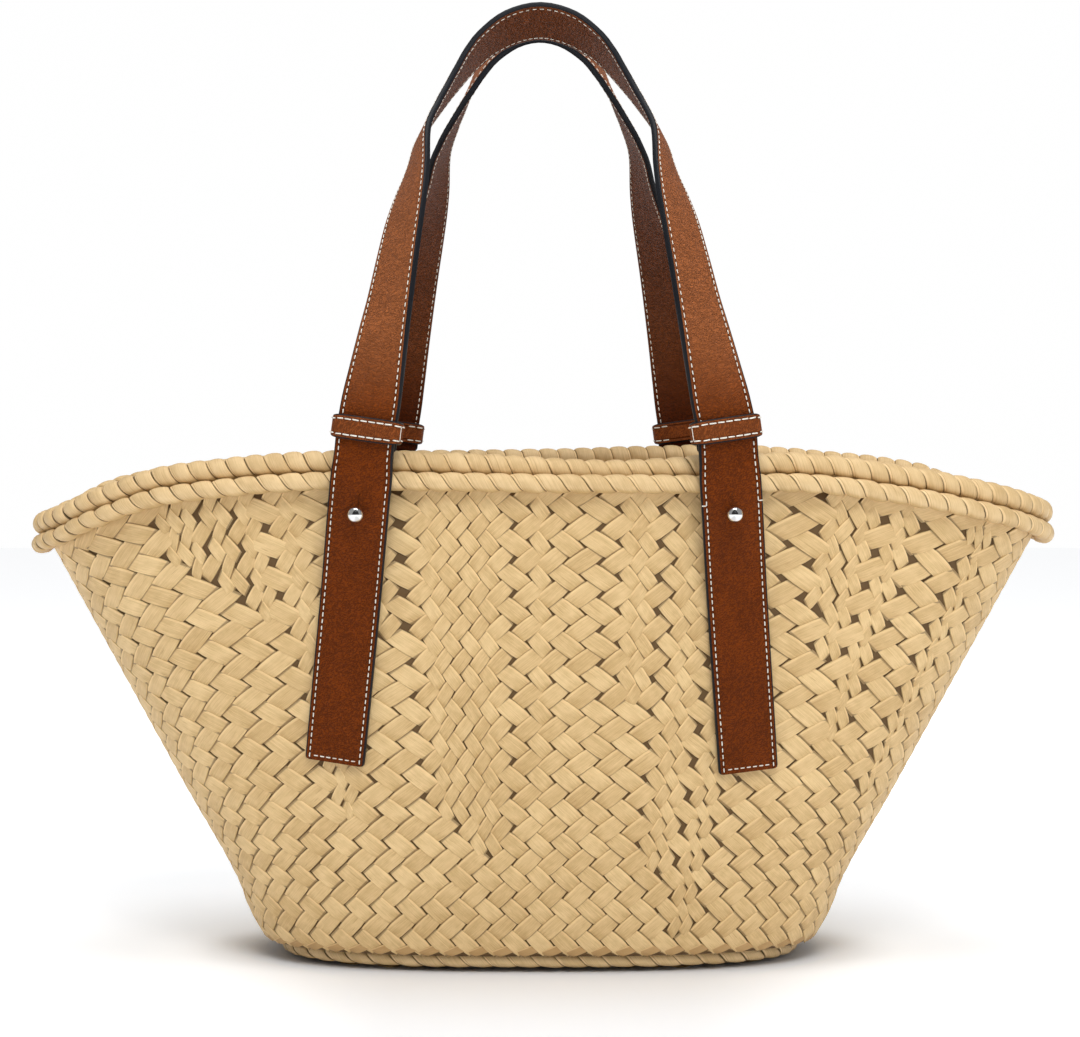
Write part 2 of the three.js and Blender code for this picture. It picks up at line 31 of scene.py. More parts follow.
bl_info = {
    "name": "Straw basket bag",
    "version": (1, 0, 0),
    "blender": (4, 5, 0),
    "location": "View3D > Sidebar > Basket",
    "description": "Dresses the basket bag's solids in plait, wrapped rolls, leather and steel",
    "category": "Object",
}

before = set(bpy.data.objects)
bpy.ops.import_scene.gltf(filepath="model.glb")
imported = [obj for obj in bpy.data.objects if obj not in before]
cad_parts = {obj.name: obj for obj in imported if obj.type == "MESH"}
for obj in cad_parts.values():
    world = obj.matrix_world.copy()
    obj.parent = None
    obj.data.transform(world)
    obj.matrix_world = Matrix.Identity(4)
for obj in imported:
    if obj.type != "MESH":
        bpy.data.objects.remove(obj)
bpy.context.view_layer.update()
MM = 0.001
TURN = 2 * math.pi

# Sizes of the solids that the pieces follow
RIM_LENGTH, RIM_DEPTH, RIM_HEIGHT = 502, 216, 247
FOOT_LENGTH, FOOT_DEPTH = 254, 137
WALL, CLEARANCE, EDGE_ROOM = 3, 0.3, 0.6
UPPER_RADIUS, LOWER_RADIUS, BASE_RADIUS = 5.5, 4.5, 3.4
FOOT_POWER, RIM_POWER = 2.7, 2.1
STRAP_WIDTH, STRAP_THICKNESS = 28.5, 3
STRAP_FOOT, STRAP_FOOT_SPREAD, BRIDGE_FOOT = 99.8, 95.8, 165
HANDLE_TOP, KEEPER_SPREAD, KEEPER_HEIGHT, KEEPER_TURN = 454.5, 79.3, 256.3, 17
KEEPER_BAND, KEEPER_LEATHER, KEEPER_ROOM = 11.2, 2, 0.55
BACKING_THICKNESS, BACKING_WIDTH, BACKING_LENGTH, BACKING_DROP = 2, 29, 14.5, 1.5
ROOM_OVER_ROLL, ROOM_OVER_WALL = 0.8, 0.6
STUD_HEIGHT, SLIT_LENGTH = 219, 6.5
BALL, NECK, NECK_LENGTH, COLLAR, COLLAR_THICKNESS = 7.8, 3.4, 0.9, 8.6, 1.1
POST, HEAD, HEAD_THICKNESS, STUD_ROOM = 4, 9, 1.2, 0.35

# Sizes that only the dressing has
BASE_LIFT, BASE_SWELL = 2.4, 0.2
PLAIT_FOOT, INNER_FOOT, FLAT_ROW, FLAT_RELIEF = 8.2, 10.5, 7.9, 0.9
# TOP_SHADE is the top row's lean, which paints it darker as the shadow under the lower roll.
FIRST_ROW, TOP_SQUASH, TOP_SHADE = 0.55, 0.42, -5.0
INCREASE_HALF, INCREASE_SPREAD = 0.55, 0.004
ROUND_STEPS = 1440
STRAP_CORNER, BAR_ABOVE_STUD = 1.5, 3.9
SLIT_WIDTH, SLIT_HOLE, SLIT_PAST_NECK = 0.14, 0.35, 1.6
KEEPER_CORNER, KEEPER_BULGE, KEEPER_STITCH_EDGE = 3.8, 1.1, 2.0
FRONT_SEWN, BACK_SEWN, INNER_END = 19.5, 28.0, 17.2

# Wall flare between foot and rim: share of the rim's height, share of length gained, share of depth gained
FLARE = [
    (0, 0, 0), (0.02, 0.042, 0.09), (0.06, 0.1, 0.17), (0.1, 0.142, 0.235), (0.142, 0.174, 0.29),
    (0.33, 0.39, 0.45), (0.6, 0.698, 0.675), (0.866, 1, 0.9), (1, 1.152, 1),
]
# Rim: share of a turn from the right end through the back, share of the rim's height, stack of the rolls
RIM = [
    (0, 0.894, 1), (0.059, 0.922, 1), (0.093, 0.943, 1), (0.116, 0.972, 1), (0.15, 0.993, 1),
    (0.196, 1.009, 1), (0.25, 1, 1), (0.31, 0.994, 1), (0.36, 0.977, 1), (0.41, 0.943, 1),
    (0.45, 0.9, 1), (0.5, 0.874, 1), (0.555, 0.89, 1), (0.593, 0.926, 1), (0.641, 0.976, 1),
    (0.7, 1, 1), (0.735, 0.994, 0.9), (0.767, 0.982, 0.6), (0.795, 0.991, 0.9), (0.817, 0.996, 1),
    (0.867, 0.968, 1), (0.896, 0.947, 1), (0.936, 0.921, 1), (0.965, 0.905, 1),
]
BRIDGE = [(0, 0), (0.3, 0.14), (0.58, 0.55), (0.82, 0.9), (1, 1)]
# Strap above the keeper: share of the height, shares of the keeper's place across and out, degrees of turn
ARCH = [
    (0, 1, 1, 17), (0.05, 0.979, 1, 17), (0.132, 0.942, 0.993, 27), (0.213, 0.906, 0.98, 36),
    (0.299, 0.867, 0.957, 44), (0.409, 0.823, 0.9, 50), (0.502, 0.786, 0.81, 55),
    (0.601, 0.744, 0.667, 66), (0.698, 0.705, 0.505, 80), (0.751, 0.655, 0.4, 86),
    (0.804, 0.585, 0.315, 91), (0.855, 0.508, 0.255, 96), (0.902, 0.428, 0.215, 102),
    (0.943, 0.335, 0.19, 108), (0.984, 0.178, 0.168, 115), (1, 0, 0.162, 117),
]
# Legs: side, face, swing, foot, pinch
LEGS = {
    "front_left": (-1, -1, 0, 1.2, 0),
    "front_right": (1, -1, 6, -3, 0),
    "back_left": (-1, 1, -0.8, 0.8, 5.5),
    "back_right": (1, 1, -2.6, -0.8, 5.5),
}
FOOT_SWING, SWING_FADE, PINCH_POWER = 0.25, 1.5, 4


def smooth_table(rows, column):
    """A curve through one column of a table that never overshoots its rows."""
    x = np.array([row[0] for row in rows], float)
    y = np.array([row[column] for row in rows], float)
    slope = np.diff(y) / np.diff(x)
    product = slope[:-1] * slope[1:]
    total = np.where(product > 0, slope[:-1] + slope[1:], 1)
    ease = np.concatenate(([slope[0]], np.where(product > 0, 2 * product / total, 0), [slope[-1]]))

    def at(places):
        places = np.asarray(places, float)
        row = np.clip(np.searchsorted(x, places) - 1, 0, len(x) - 2)
        span = x[row + 1] - x[row]
        t = np.clip((places - x[row]) / span, 0, 1)
        start, end = (1 + 2 * t) * (1 - t) ** 2, t * t * (3 - 2 * t)
        eased = t * (1 - t) ** 2 * span * ease[row] + t * t * (t - 1) * span * ease[row + 1]
        return y[row] * start + y[row + 1] * end + eased + slope[-1] * np.maximum(places - x[-1], 0)

    return at


flare_length, flare_depth = smooth_table(FLARE, 1), smooth_table(FLARE, 2)
rim_round = [(t - 1, a, b) for t, a, b in RIM[-2:]] + RIM + [(t + 1, a, b) for t, a, b in RIM[:2]]
rim_top, rim_stack = smooth_table(rim_round, 1), smooth_table(rim_round, 2)
RIM_HALF = (RIM_LENGTH / 2 - UPPER_RADIUS + WALL / 2, RIM_DEPTH / 2 - 2 * LOWER_RADIUS - CLEARANCE)


def unit(vectors):
    return vectors / np.linalg.norm(vectors, axis=-1, keepdims=True)


def running_length(line):
    """The length of a line of points up to each of them."""
    return np.concatenate(([0], np.cumsum(np.linalg.norm(np.diff(line, axis=0), axis=1))))


def oval(length, depth, power, turn, outset, height):
    """A point of a squared oval, moved out along its level normal."""
    turn = np.asarray(turn, float)
    cos, sin = np.cos(turn * TURN), np.sin(turn * TURN)
    bend = 2 / power
    normal = np.stack([
        np.sign(cos) * np.abs(cos) ** (2 - bend) / length,
        np.sign(sin) * np.abs(sin) ** (2 - bend) / depth,
    ], -1)
    place = np.stack([
        length * np.sign(cos) * np.abs(cos) ** bend,
        depth * np.sign(sin) * np.abs(sin) ** bend,
    ], -1) + unit(normal) * np.asarray(outset)[..., None]
    return np.concatenate([place, np.broadcast_to(height, turn.shape)[..., None]], -1)


def wall_point(turn, height, outset=0.0):
    turn, height = np.broadcast_arrays(np.asarray(turn, float), np.asarray(height, float))
    rise = height / RIM_HEIGHT
    length = FOOT_LENGTH / 2 + (RIM_HALF[0] - FOOT_LENGTH / 2) * flare_length(rise)
    depth = FOOT_DEPTH / 2 + (RIM_HALF[1] - FOOT_DEPTH / 2) * flare_depth(rise)
    power = FOOT_POWER + (RIM_POWER - FOOT_POWER) * np.clip(rise, 0, 1)
    return oval(length, depth, power, turn, np.full(turn.shape, outset), height)


def wall_frame(turn, height):
    """Places on the wall's outer face, with the directions along it, out of it and up its slope."""
    step = 1 / 1024
    place = wall_point(turn, height)
    along = unit(wall_point(turn + step, height) - wall_point(turn - step, height))
    out = unit(np.cross(along, wall_point(turn, height + 1) - place))
    return place, along, out, np.cross(out, along)


def rim_places(turn):
    """Middles of both rim rolls and the height of the wall's edge."""
    step = 1 / 1024
    apart = UPPER_RADIUS + LOWER_RADIUS + CLEARANCE
    offset = LOWER_RADIUS + CLEARANCE
    usual = math.sqrt(apart**2 - (offset + WALL / 2) ** 2)
    climb = RIM_HEIGHT * (rim_top((turn + step) % 1) - rim_top((turn - step) % 1))
    run = np.linalg.norm(wall_point(turn + step, RIM_HEIGHT) - wall_point(turn - step, RIM_HEIGHT), axis=-1)
    slant = np.hypot(climb, run) / run
    middle = RIM_HEIGHT * rim_top(turn % 1) - UPPER_RADIUS
    stack = usual * rim_stack(turn % 1)
    inward = offset - np.sqrt(apart**2 - stack**2)
    _, _, lean_out, lean_up = wall_frame(turn, middle - usual)
    seat = middle - lean_up[..., 2] * stack * slant - lean_out[..., 2] * inward
    place, _, out, up = wall_frame(turn, seat)
    lower = place + out * offset
    upper = place + up * (stack * slant)[..., None] + out * inward[..., None]
    return lower, upper, seat + up[..., 2] * (stack - UPPER_RADIUS - EDGE_ROOM) * slant


def base_roll_middle(turn):
    """The base roll's middle, with the roll a little above the floor, as the plaited bottom bears the bag."""
    rise = BASE_RADIUS + BASE_LIFT
    return oval(FOOT_LENGTH / 2 - BASE_RADIUS, FOOT_DEPTH / 2 - BASE_RADIUS, FOOT_POWER, turn, 0.0, rise)


def turn_at_across(side, face, across, height):
    """Where round the basket its wall passes a distance from the middle of the bag."""
    rise = height / RIM_HEIGHT
    length = FOOT_LENGTH / 2 + (RIM_HALF[0] - FOOT_LENGTH / 2) * float(flare_length(rise))
    power = FOOT_POWER + (RIM_POWER - FOOT_POWER) * min(rise, 1)
    angle = math.acos(min(across / length, 1) ** (power / 2))
    half = angle if side > 0 else math.pi - angle
    return (half if face > 0 else TURN - half) / TURN


def leg_points(side, face, swing, foot, pinch):
    """One leg of a strap from the tab's end to the top of the arch: (across, out, height, turn)."""
    half = STRAP_THICKNESS / 2
    keeper_across = KEEPER_SPREAD + swing
    foot_across = STRAP_FOOT_SPREAD + swing * FOOT_SWING
    foot_height = STRAP_FOOT + foot

    def across_at(height):
        share = (height - foot_height) / (KEEPER_HEIGHT - foot_height)
        return foot_across + (keeper_across - foot_across) * share

    def on_wall(height):
        turn = np.array(turn_at_across(side, face, across_at(height), height))
        place, _, out, _ = wall_frame(turn, np.array(float(height)))
        gap = (half + ROOM_OVER_WALL) / abs(out[1])
        facing = math.degrees(math.atan2(abs(out[0]), abs(out[1])))
        return across_at(height), abs(place[1]) + gap, height, facing

    roll = rim_places(np.array(turn_at_across(side, face, keeper_across, RIM_HEIGHT)))[0]
    over_roll = abs(roll[1]) + LOWER_RADIUS + half + ROOM_OVER_ROLL
    lift = over_roll - on_wall(roll[2])[1]
    points = [on_wall(foot_height + (BRIDGE_FOOT - foot_height) * share) for share in (0, 0.35, 0.7)]
    for rise, bridge in BRIDGE:
        across, out, height, turn = on_wall(BRIDGE_FOOT + (roll[2] - BRIDGE_FOOT) * rise)
        points.append((across, out + lift * bridge, height, turn))
    between = (roll[2] + KEEPER_HEIGHT) / 2
    points.append((across_at(between), over_roll, between, KEEPER_TURN))
    greatest = (PINCH_POWER / (PINCH_POWER + 1)) ** PINCH_POWER / (PINCH_POWER + 1)
    for rise, across, out, turn in ARCH:
        moved = swing * (1 - rise) ** SWING_FADE - pinch * rise**PINCH_POWER * (1 - rise) / greatest
        height = KEEPER_HEIGHT + (HANDLE_TOP - KEEPER_HEIGHT) * rise
        points.append((across * KEEPER_SPREAD + moved, out * over_roll, height, turn))
    return points


class StrapPath:
    """A strap's middle line through both legs, with the direction across its width at any place."""

    def __init__(self, face):
        left, right = [leg for leg in LEGS.values() if leg[1] == face]
        left_points, right_points = leg_points(*left), leg_points(*right)[::-1][1:]
        self.face = face
        rows = [(-across, face * out, height) for across, out, height, _ in left_points]
        rows += [(across, face * out, height) for across, out, height, _ in right_points]
        self.points = np.array(rows)
        turns = [p[3] for p in left_points + right_points]
        self.turn_at = smooth_table(list(enumerate(turns)), 1)
        self.last = len(self.points) - 1
        self.keeper = len(left_points) - len(ARCH)

    def point(self, place):
        """A centripetal curve through the points."""
        points, last = self.points, self.last
        row = min(int(math.floor(place)), last - 1)
        before = points[row - 1] if row > 0 else 2 * points[0] - points[1]
        after = points[row + 2] if row + 2 <= last else 2 * points[last] - points[last - 1]
        four = [before, points[row], points[row + 1], after]
        d0, d1, d2 = (math.sqrt(np.linalg.norm(four[k + 1] - four[k])) for k in range(3))
        start = (four[1] - four[0]) / d0 - (four[2] - four[0]) / (d0 + d1) + (four[2] - four[1]) / d1
        end = (four[2] - four[1]) / d1 - (four[3] - four[1]) / (d1 + d2) + (four[3] - four[2]) / d2
        start, end = start * d1, end * d1
        t = place - row
        return (four[1] + start * t + (3 * (four[2] - four[1]) - 2 * start - end) * t * t
                + (2 * (four[1] - four[2]) + start + end) * t**3)

    def at(self, place):
        """(middle, along, across, outward) of the strap."""
        step = 0.002
        ahead, behind = self.point(min(place + step, self.last)), self.point(max(place - step, 0))
        along = unit(ahead - behind)
        inward = unit(np.cross([0.0, 1.0, 0.0], along))
        front = np.cross(inward, along) * -self.face
        turn = math.radians(float(self.turn_at(place)))
        across = inward * math.cos(turn) + front * math.sin(turn)
        return self.point(place), along, across, np.cross(across, along) * -self.face

    def lengths(self, steps=24):
        """Places along the strap with the length up to each."""
        places = np.linspace(0, self.last, self.last * steps + 1)
        line = np.array([self.point(place) for place in places])
        return places, running_length(line)

    def place_of(self, side, height):
        low, high = (0, self.keeper) if side < 0 else (self.last, self.last - self.keeper)
        for _ in range(30):
            middle = (low + high) / 2
            low, high = (middle, high) if self.point(middle)[2] < height else (low, middle)
        return (low + high) / 2

    def upright(self, place):
        """(middle, across, up, outward) as a right-handed frame that stands upright on the strap."""
        middle, _, across, outward = self.at(place)
        up = np.cross(outward, across)
        return (middle, across, up, outward) if up[2] > 0 else (middle, -across, -up, outward)


straps = {"front_handle": StrapPath(-1), "back_handle": StrapPath(1)}


class Wire:
    """An output socket that takes part in Python sums, so that shader maths reads as formulas."""

    def __init__(self, tree, socket):
        self.tree, self.socket = tree, socket

    def maths(self, operation, first, second=None):
        values = {0: first} if second is None else {0: first, 1: second}
        return self.tree.add("ShaderNodeMath", {"operation": operation}, values)

    def __add__(self, other):
        return self.maths("ADD", self, other)

    __radd__ = __add__

    def __mul__(self, other):
        return self.maths("MULTIPLY", self, other)

    __rmul__ = __mul__

    def __sub__(self, other):
        return self.maths("SUBTRACT", self, other)

    def __rsub__(self, other):
        return self.maths("SUBTRACT", other, self)

    def __abs__(self):
        return self.maths("ABSOLUTE", self)


class Tree:
    """Adds nodes to a shader or geometry tree."""

    def __init__(self, tree):
        self.tree = tree

    def add(self, kind, settings=None, values=None, output=0):
        """A node of this type, with its settings made first and then its inputs' values or links."""
        node = self.tree.nodes.new(kind)
        for name, value in (settings or {}).items():
            if name == "stops":
                ramp = node.color_ramp.elements
                while len(ramp) < len(value):
                    ramp.new(0.5)
                for stop, (position, colour) in zip(ramp, value):
                    stop.position, stop.color = position, (*colour, 1)
            else:
                setattr(node, name, value)
        for name, value in (values or {}).items():
            if isinstance(value, Wire):
                self.tree.links.new(value.socket, node.inputs[name])
            else:
                node.inputs[name].default_value = value
        return Wire(self, node.outputs[output]) if len(node.outputs) else None

    def mix(self, factor, first, second):
        colour = [(*c, 1) if isinstance(c, (tuple, list)) and len(c) == 3 else c for c in (first, second)]
        settings = {"data_type": "RGBA", "clamp_factor": True}
        return self.add("ShaderNodeMix", settings, {0: factor, 6: colour[0], 7: colour[1]}, 2)

    def tinted(self, first, second):
        """One colour times another."""
        settings = {"data_type": "RGBA", "blend_type": "MULTIPLY"}
        return self.add("ShaderNodeMix", settings, {0: 1.0, 6: first, 7: second}, 2)

    def vector(self, x, y, z=0.0):
        return self.add("ShaderNodeCombineXYZ", None, {0: x, 1: y, 2: z})

    def length(self, vector):
        return self.add("ShaderNodeVectorMath", {"operation": "LENGTH"}, {0: vector}, "Value")

    def parts(self, vector):
        wire = self.add("ShaderNodeSeparateXYZ", None, {0: vector})
        return [Wire(self, wire.socket.node.outputs[k]) for k in range(3)]

    def noise(self, vector, scale, detail=2.0, roughness=0.5, distortion=0.0):
        values = {"Vector": vector, "Scale": scale, "Detail": detail, "Roughness": roughness,
                  "Distortion": distortion}
        return self.add("ShaderNodeTexNoise", {"noise_dimensions": "3D"}, values)

    def band(self, value, low, high):
        """0 below low, 1 above high, smooth between."""
        settings = {"interpolation_type": "SMOOTHSTEP"}
        return self.add("ShaderNodeMapRange", settings,
                        {"Value": value, "From Min": low, "From Max": high, "To Min": 0.0, "To Max": 1.0})

    def attribute(self, name, output="Vector"):
        wire = self.add("ShaderNodeAttribute", {"attribute_name": name})
        return Wire(self, wire.socket.node.outputs[output])

    def bump(self, height, strength, distance):
        values = {"Height": height, "Strength": strength, "Distance": distance}
        return self.add("ShaderNodeBump", None, values)


def material(name, paint):
    """A material whose surface is set by paint(tree), which returns the shader's inputs."""
    made = bpy.data.materials.new(name)
    made.use_nodes = True
    made.node_tree.nodes.clear()
    tree = Tree(made.node_tree)
    shader = tree.add("ShaderNodeBsdfPrincipled", None, paint(tree))
    tree.add("ShaderNodeOutputMaterial", None, {"Surface": shader})
    return made


def shaded(colour, share):
    """A colour made darker or lighter."""
    return tuple(min(c * share, 1) for c in colour)


def leaf_material(name, light, dark, brown, roughness=0.5, fibre=1.0, wound=False):
    """Dried palm leaf: long fibres, blotches and a colour of its own on each strip, with painted shade at its
    edges and lower end and a painted highlight along its upper side.
    """

    def paint(tree):
        along, across, _ = tree.parts(tree.attribute("strand"))
        tint = tree.attribute("tint", "Fac")
        lean = tree.attribute("lean", "Fac")
        seed = tint * 61.0
        fibres = tree.noise(tree.vector(along * 0.55, across * 15.0, seed), 1.0, 3.0, 0.6)
        fine = tree.noise(tree.vector(along * 1.1, across * 44.0, seed + 7.0), 1.0, 2.0, 0.6)
        blotch = tree.noise(tree.vector(along * 1.3, across * 0.9, seed + 3.0), 1.0, 2.0, 0.5)
        place = tree.add("ShaderNodeTexCoord", None, None, 3)
        patch = tree.noise(place, 23.0, 2.0)
        # Painted shade: each strip is darker towards its lower end, and much darker on the underside of the
        # wound rolls, where less light falls.
        lower_end_shade = tree.band(along, 0.2, 1.1)
        shade = fibres * 0.65 + fine * 0.45 + blotch * 0.35 + tint * 0.16 + patch * 0.15
        shade = shade - lower_end_shade * (0.42 if wound else 0.12)
        shade = tree.band(shade, 0.5, 1.2)
        colour = tree.mix(shade, dark, light)
        spot = tree.band(tree.noise(tree.vector(along * 0.8, across * 5.0, seed + 19.0), 1.0, 1.0), 0.66, 0.8)
        colour = tree.mix(spot * 0.45, colour, brown)
        # Painted shade: rising tiles are a little browner than falling ones, as their fibres take the light
        # differently, and a lean of TOP_SHADE paints the top row darker, as shadow under the lower roll.
        colour = tree.mix((1.0 - lean) * 0.12, colour, brown)
        # Painted highlight along each strip's upper side, where its rounded edge catches the light.
        pale = tree.band(across, 0.62, 0.82) * tree.band(across, 0.99, 0.9)
        colour = tree.mix(pale * 0.45, colour, shaded(light, 1.12))
        # Painted shade: near-black lines in the seams between wraps and along each tile's sides and ends,
        # where the neighbouring strips shade them.
        crevice_shade = shaded(brown, 0.3)
        if wound:
            under = tree.band(abs(across - 0.74), 0.06, 0.02) * tree.band(tint, 0.4, 0.5)
            colour = tree.mix(under * 0.6, colour, brown)
            colour = tree.mix(tree.band(abs(across), 0.93, 0.985) * 0.8, colour, crevice_shade)
        else:
            colour = tree.mix(tree.band(abs(across), 0.94, 1.0) * 0.85, colour, crevice_shade)
            colour = tree.mix(tree.band(abs(along), 0.93, 1.04) * 0.6, colour, crevice_shade)
        relief = fibres * 0.6 + fine * 0.5 + blotch * 0.5
        return {
            "Base Color": colour,
            "Roughness": tree.band(fibres, 0.2, 0.8) * 0.12 + roughness,
            "Normal": tree.bump(relief, 0.5 * fibre, 0.0006),
            "Specular IOR Level": 0.42,
        }

    return material(name, paint)


def leather_material(name, band, colour_high, colour_low, edge_colour, edge_at, groove_at):
    """Brown leather: pebbled above the band of heights, smooth below, with a stitch groove and painted edges.
    Its UV map gives its place: u round the section from the outer face's middle, v along."""

    def paint(tree):
        u, v, _ = tree.parts(tree.add("ShaderNodeUVMap", {"uv_map": "cut"}))
        u, v = u * 1000.0, v * 1000.0
        _, _, height = tree.parts(tree.add("ShaderNodeTexCoord", None, None, 3))
        high = tree.band(height, band[0], band[1])
        warp = tree.noise(tree.vector(u * 0.22, v * 0.22), 1.0, 2.0)
        crease = tree.add("ShaderNodeTexVoronoi", {"feature": "DISTANCE_TO_EDGE"}, {
            "Vector": tree.vector(u * 0.62 + warp * 2.6, v * 0.98 + warp * 2.0), "Scale": 1.0}, "Distance")
        pebble = tree.band(crease, 0.0, 0.28)
        folds = tree.noise(tree.vector(u * 0.2, v * 0.62 + warp * 1.4), 1.0, 2.0, 0.5, 0.5)
        wrinkle = tree.band(abs(folds - 0.5), 0.0, 0.07)
        slant = tree.noise(tree.vector(u * 0.42 + v * 0.3, v * 0.8 - u * 0.5 + warp), 1.0, 2.0, 0.55)
        fine = tree.band(abs(slant - 0.5), 0.0, 0.1)
        pores = tree.noise(tree.vector(u * 2.4, v * 3.4), 1.0, 3.0, 0.6)
        cloud = tree.noise(tree.vector(u * 0.05, v * 0.045), 1.0, 3.0, 0.55)
        # The grain's raised cells are painted lighter and its creases darker: partly the leather's own tone,
        # partly painted highlight and shade.
        shade = tree.band(wrinkle * 0.3 + pebble * 0.25 + pores * 0.35 + cloud * 0.35, 0.3, 1.05)
        bright = tree.mix(shade, shaded(colour_high, 0.7), shaded(colour_high, 1.18))
        low_shade = tree.band(fine * 0.35 + pores * 0.6 + cloud * 0.4, 0.45, 1.0)
        plain = tree.mix(low_shade, shaded(colour_low, 0.6), shaded(colour_low, 1.35))
        # Above the band the strap is lighter: partly its grained leather, partly painted sheen where it tilts
        # up to the light.
        colour = tree.mix(high, plain, bright)
        reach = abs(u)
        # Painted shade in the stitch groove, which the bump also sinks.
        groove = tree.band(abs(reach - groove_at), 0.75, 0.1)
        colour = tree.mix(groove * 0.55, colour, shaded(colour_low, 0.35))
        inner_face = edge_at + 3.1
        behind = tree.band(reach, inner_face, inner_face + 0.25)
        painted = tree.band(reach, edge_at - 0.25, edge_at + 0.05) * (1.0 - behind)
        colour = tree.mix(behind, colour, tree.tinted(colour, (0.52, 0.46, 0.38, 1)))
        colour = tree.mix(painted, colour, edge_colour)
        grained, plain_grain = wrinkle * 0.55 + pebble * 0.5, fine * 0.3 + wrinkle * 0.2
        relief = high * grained + (1.0 - high) * plain_grain + pores * 0.2
        rough = 0.44 - shade * 0.08 + pores * 0.1
        return {
            "Base Color": colour,
            "Roughness": rough * (1.0 - painted) + painted * 0.3,
            "Normal": tree.bump(relief * (1.0 - painted) - groove * 0.9, 0.9, 0.0009),
            "Specular IOR Level": 0.09,
        }

    return material(name, paint)


def thread_material(colour):
    def paint(tree):
        along, around, _ = tree.parts(tree.attribute("strand"))
        twist = tree.add("ShaderNodeTexWave", {"wave_type": "BANDS", "bands_direction": "DIAGONAL"}, {
            "Vector": tree.vector(along * 0.5, around * 0.35), "Scale": 1.6, "Distortion": 0.6})
        tint = tree.attribute("tint", "Fac")
        return {
            "Base Color": tree.mix(twist * 0.5 + tint * 0.4, colour, shaded(colour, 0.78)),
            "Roughness": 0.62 + tint * 0.1,
            "Normal": tree.bump(twist, 0.35, 0.00015),
        }

    return material("waxed_thread", paint)


def steel_material(colour):
    def paint(tree):
        place = tree.add("ShaderNodeTexCoord", None, None, 3)
        smudge = tree.noise(place, 420.0, 3.0, 0.6)
        return {
            "Base Color": tree.mix(smudge, colour, shaded(colour, 0.93)),
            "Metallic": 1.0,
            "Roughness": tree.band(smudge, 0.45, 0.8) * 0.07 + 0.05,
            "Normal": tree.bump(tree.noise(place, 2600.0, 2.0), 0.02, 0.0001),
        }

    return material("polished_steel", paint)


def floor_material(name, colour, glow):
    def paint(tree):
        place = tree.add("ShaderNodeTexCoord", None, None, 3)
        grain = tree.noise(place, 60.0, 3.0)
        x, y, _ = tree.parts(place)
        # Painted light: beyond the ends of the foot the floor glows grey, lifting the shadow beside the bag;
        # within the foot it does not glow, so the dark strip under the bag stays, and far off it glows evenly
        # white.
        away = tree.band(tree.length(place), 0.3, 1.1)
        clear = tree.band(tree.length(tree.vector(x * 0.54, y)), 0.07, 0.1)
        painted_side_light = tree.mix(clear * tree.band(abs(x), 0.06, 0.17), (0.0, 0.0, 0.0), (0.55, 0.55, 0.55))
        return {
            "Base Color": tree.mix(grain * 0.5, colour, shaded(colour, 0.985)),
            "Roughness": 0.7,
            "Specular IOR Level": 0.2,
            "Emission Color": tree.mix(away, painted_side_light, (1.0, 1.0, 1.0)),
            "Emission Strength": glow,
        }

    return material(name, paint)


def dome_material():
    """The white of the studio's walls, for the camera alone."""

    def paint(tree):
        place = tree.add("ShaderNodeTexCoord", None, None, 3)
        cloud = tree.noise(place, 0.4, 1.0)
        return {
            "Base Color": (0.0, 0.0, 0.0, 1),
            "Emission Color": tree.mix(cloud, (1.0, 1.0, 1.0, 1), (0.995, 0.995, 0.995, 1)),
            "Emission Strength": 1.0,
            "Specular IOR Level": 0.0,
        }

    return material("studio_walls", paint)


def mesh_of(name, points, faces, values=None, sharp=None):
    """A smooth mesh from millimetre points, with attributes at its points and its sharp edges."""
    mesh = bpy.data.meshes.new(name)
    mesh.from_pydata([tuple(p) for p in np.asarray(points) * MM], [], [tuple(f) for f in faces])
    for key, rows in (values or {}).items():
        rows = np.asarray(rows, np.float32)
        kind = "FLOAT_VECTOR" if rows.ndim == 2 else "FLOAT"
        layer = mesh.attributes.new(key, kind, "POINT")
        layer.data.foreach_set("vector" if rows.ndim == 2 else "value", rows.ravel())
    if sharp is not None:
        keys = {tuple(sorted(pair)) for pair in sharp}
        layer = mesh.attributes.new("sharp_edge", "BOOLEAN", "EDGE")
        layer.data.foreach_set("value", [tuple(sorted(edge.vertices)) in keys for edge in mesh.edges])
    mesh.polygons.foreach_set("use_smooth", [True] * len(mesh.polygons))
    mesh.update()
    return mesh


def dome_mesh(radius, sides):
    """A ball of white walls round the studio, its faces turned inwards."""
    bands = sides // 2
    points = [(radius * math.sin(math.pi * b / bands) * math.cos(TURN * k / sides),
               radius * math.sin(math.pi * b / bands) * math.sin(TURN * k / sides),
               radius * math.cos(math.pi * b / bands)) for b in range(1, bands) for k in range(sides)]
    faces = [face[::-1] for face in grid_faces(bands - 1, sides)]
    faces += [tuple(range(sides)), tuple(range((bands - 2) * sides, (bands - 1) * sides))[::-1]]
    return mesh_of("white_dome", np.array(points), faces)


def outward(mesh):
    """Turns a closed mesh's faces outwards."""
    work = bmesh.new()
    work.from_mesh(mesh)
    bmesh.ops.recalc_face_normals(work, faces=work.faces)
    work.to_mesh(mesh)
    work.free()
    return mesh


def put(name, mesh, slot, *nodes, finish=None):
    """A finished piece at the origin, riding on the bag and standing for its solids."""
    piece = bpy.data.objects.new(name, mesh)
    bpy.context.scene.collection.objects.link(piece)
    if finish is not None:
        mesh.materials.clear()
        mesh.materials.append(finish)
    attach(piece, "root")
    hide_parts(*nodes)


def grid_faces(rows, columns, wrap_rows=False, wrap_columns=True):
    """Quads over rings of points: rings one after another, each with this many columns."""
    faces = []
    for row in range(rows if wrap_rows else rows - 1):
        below = (row + 1) % rows
        for column in range(columns if wrap_columns else columns - 1):
            beside = (column + 1) % columns
            faces.append((row * columns + column, row * columns + beside,
                          below * columns + beside, below * columns + column))
    return faces


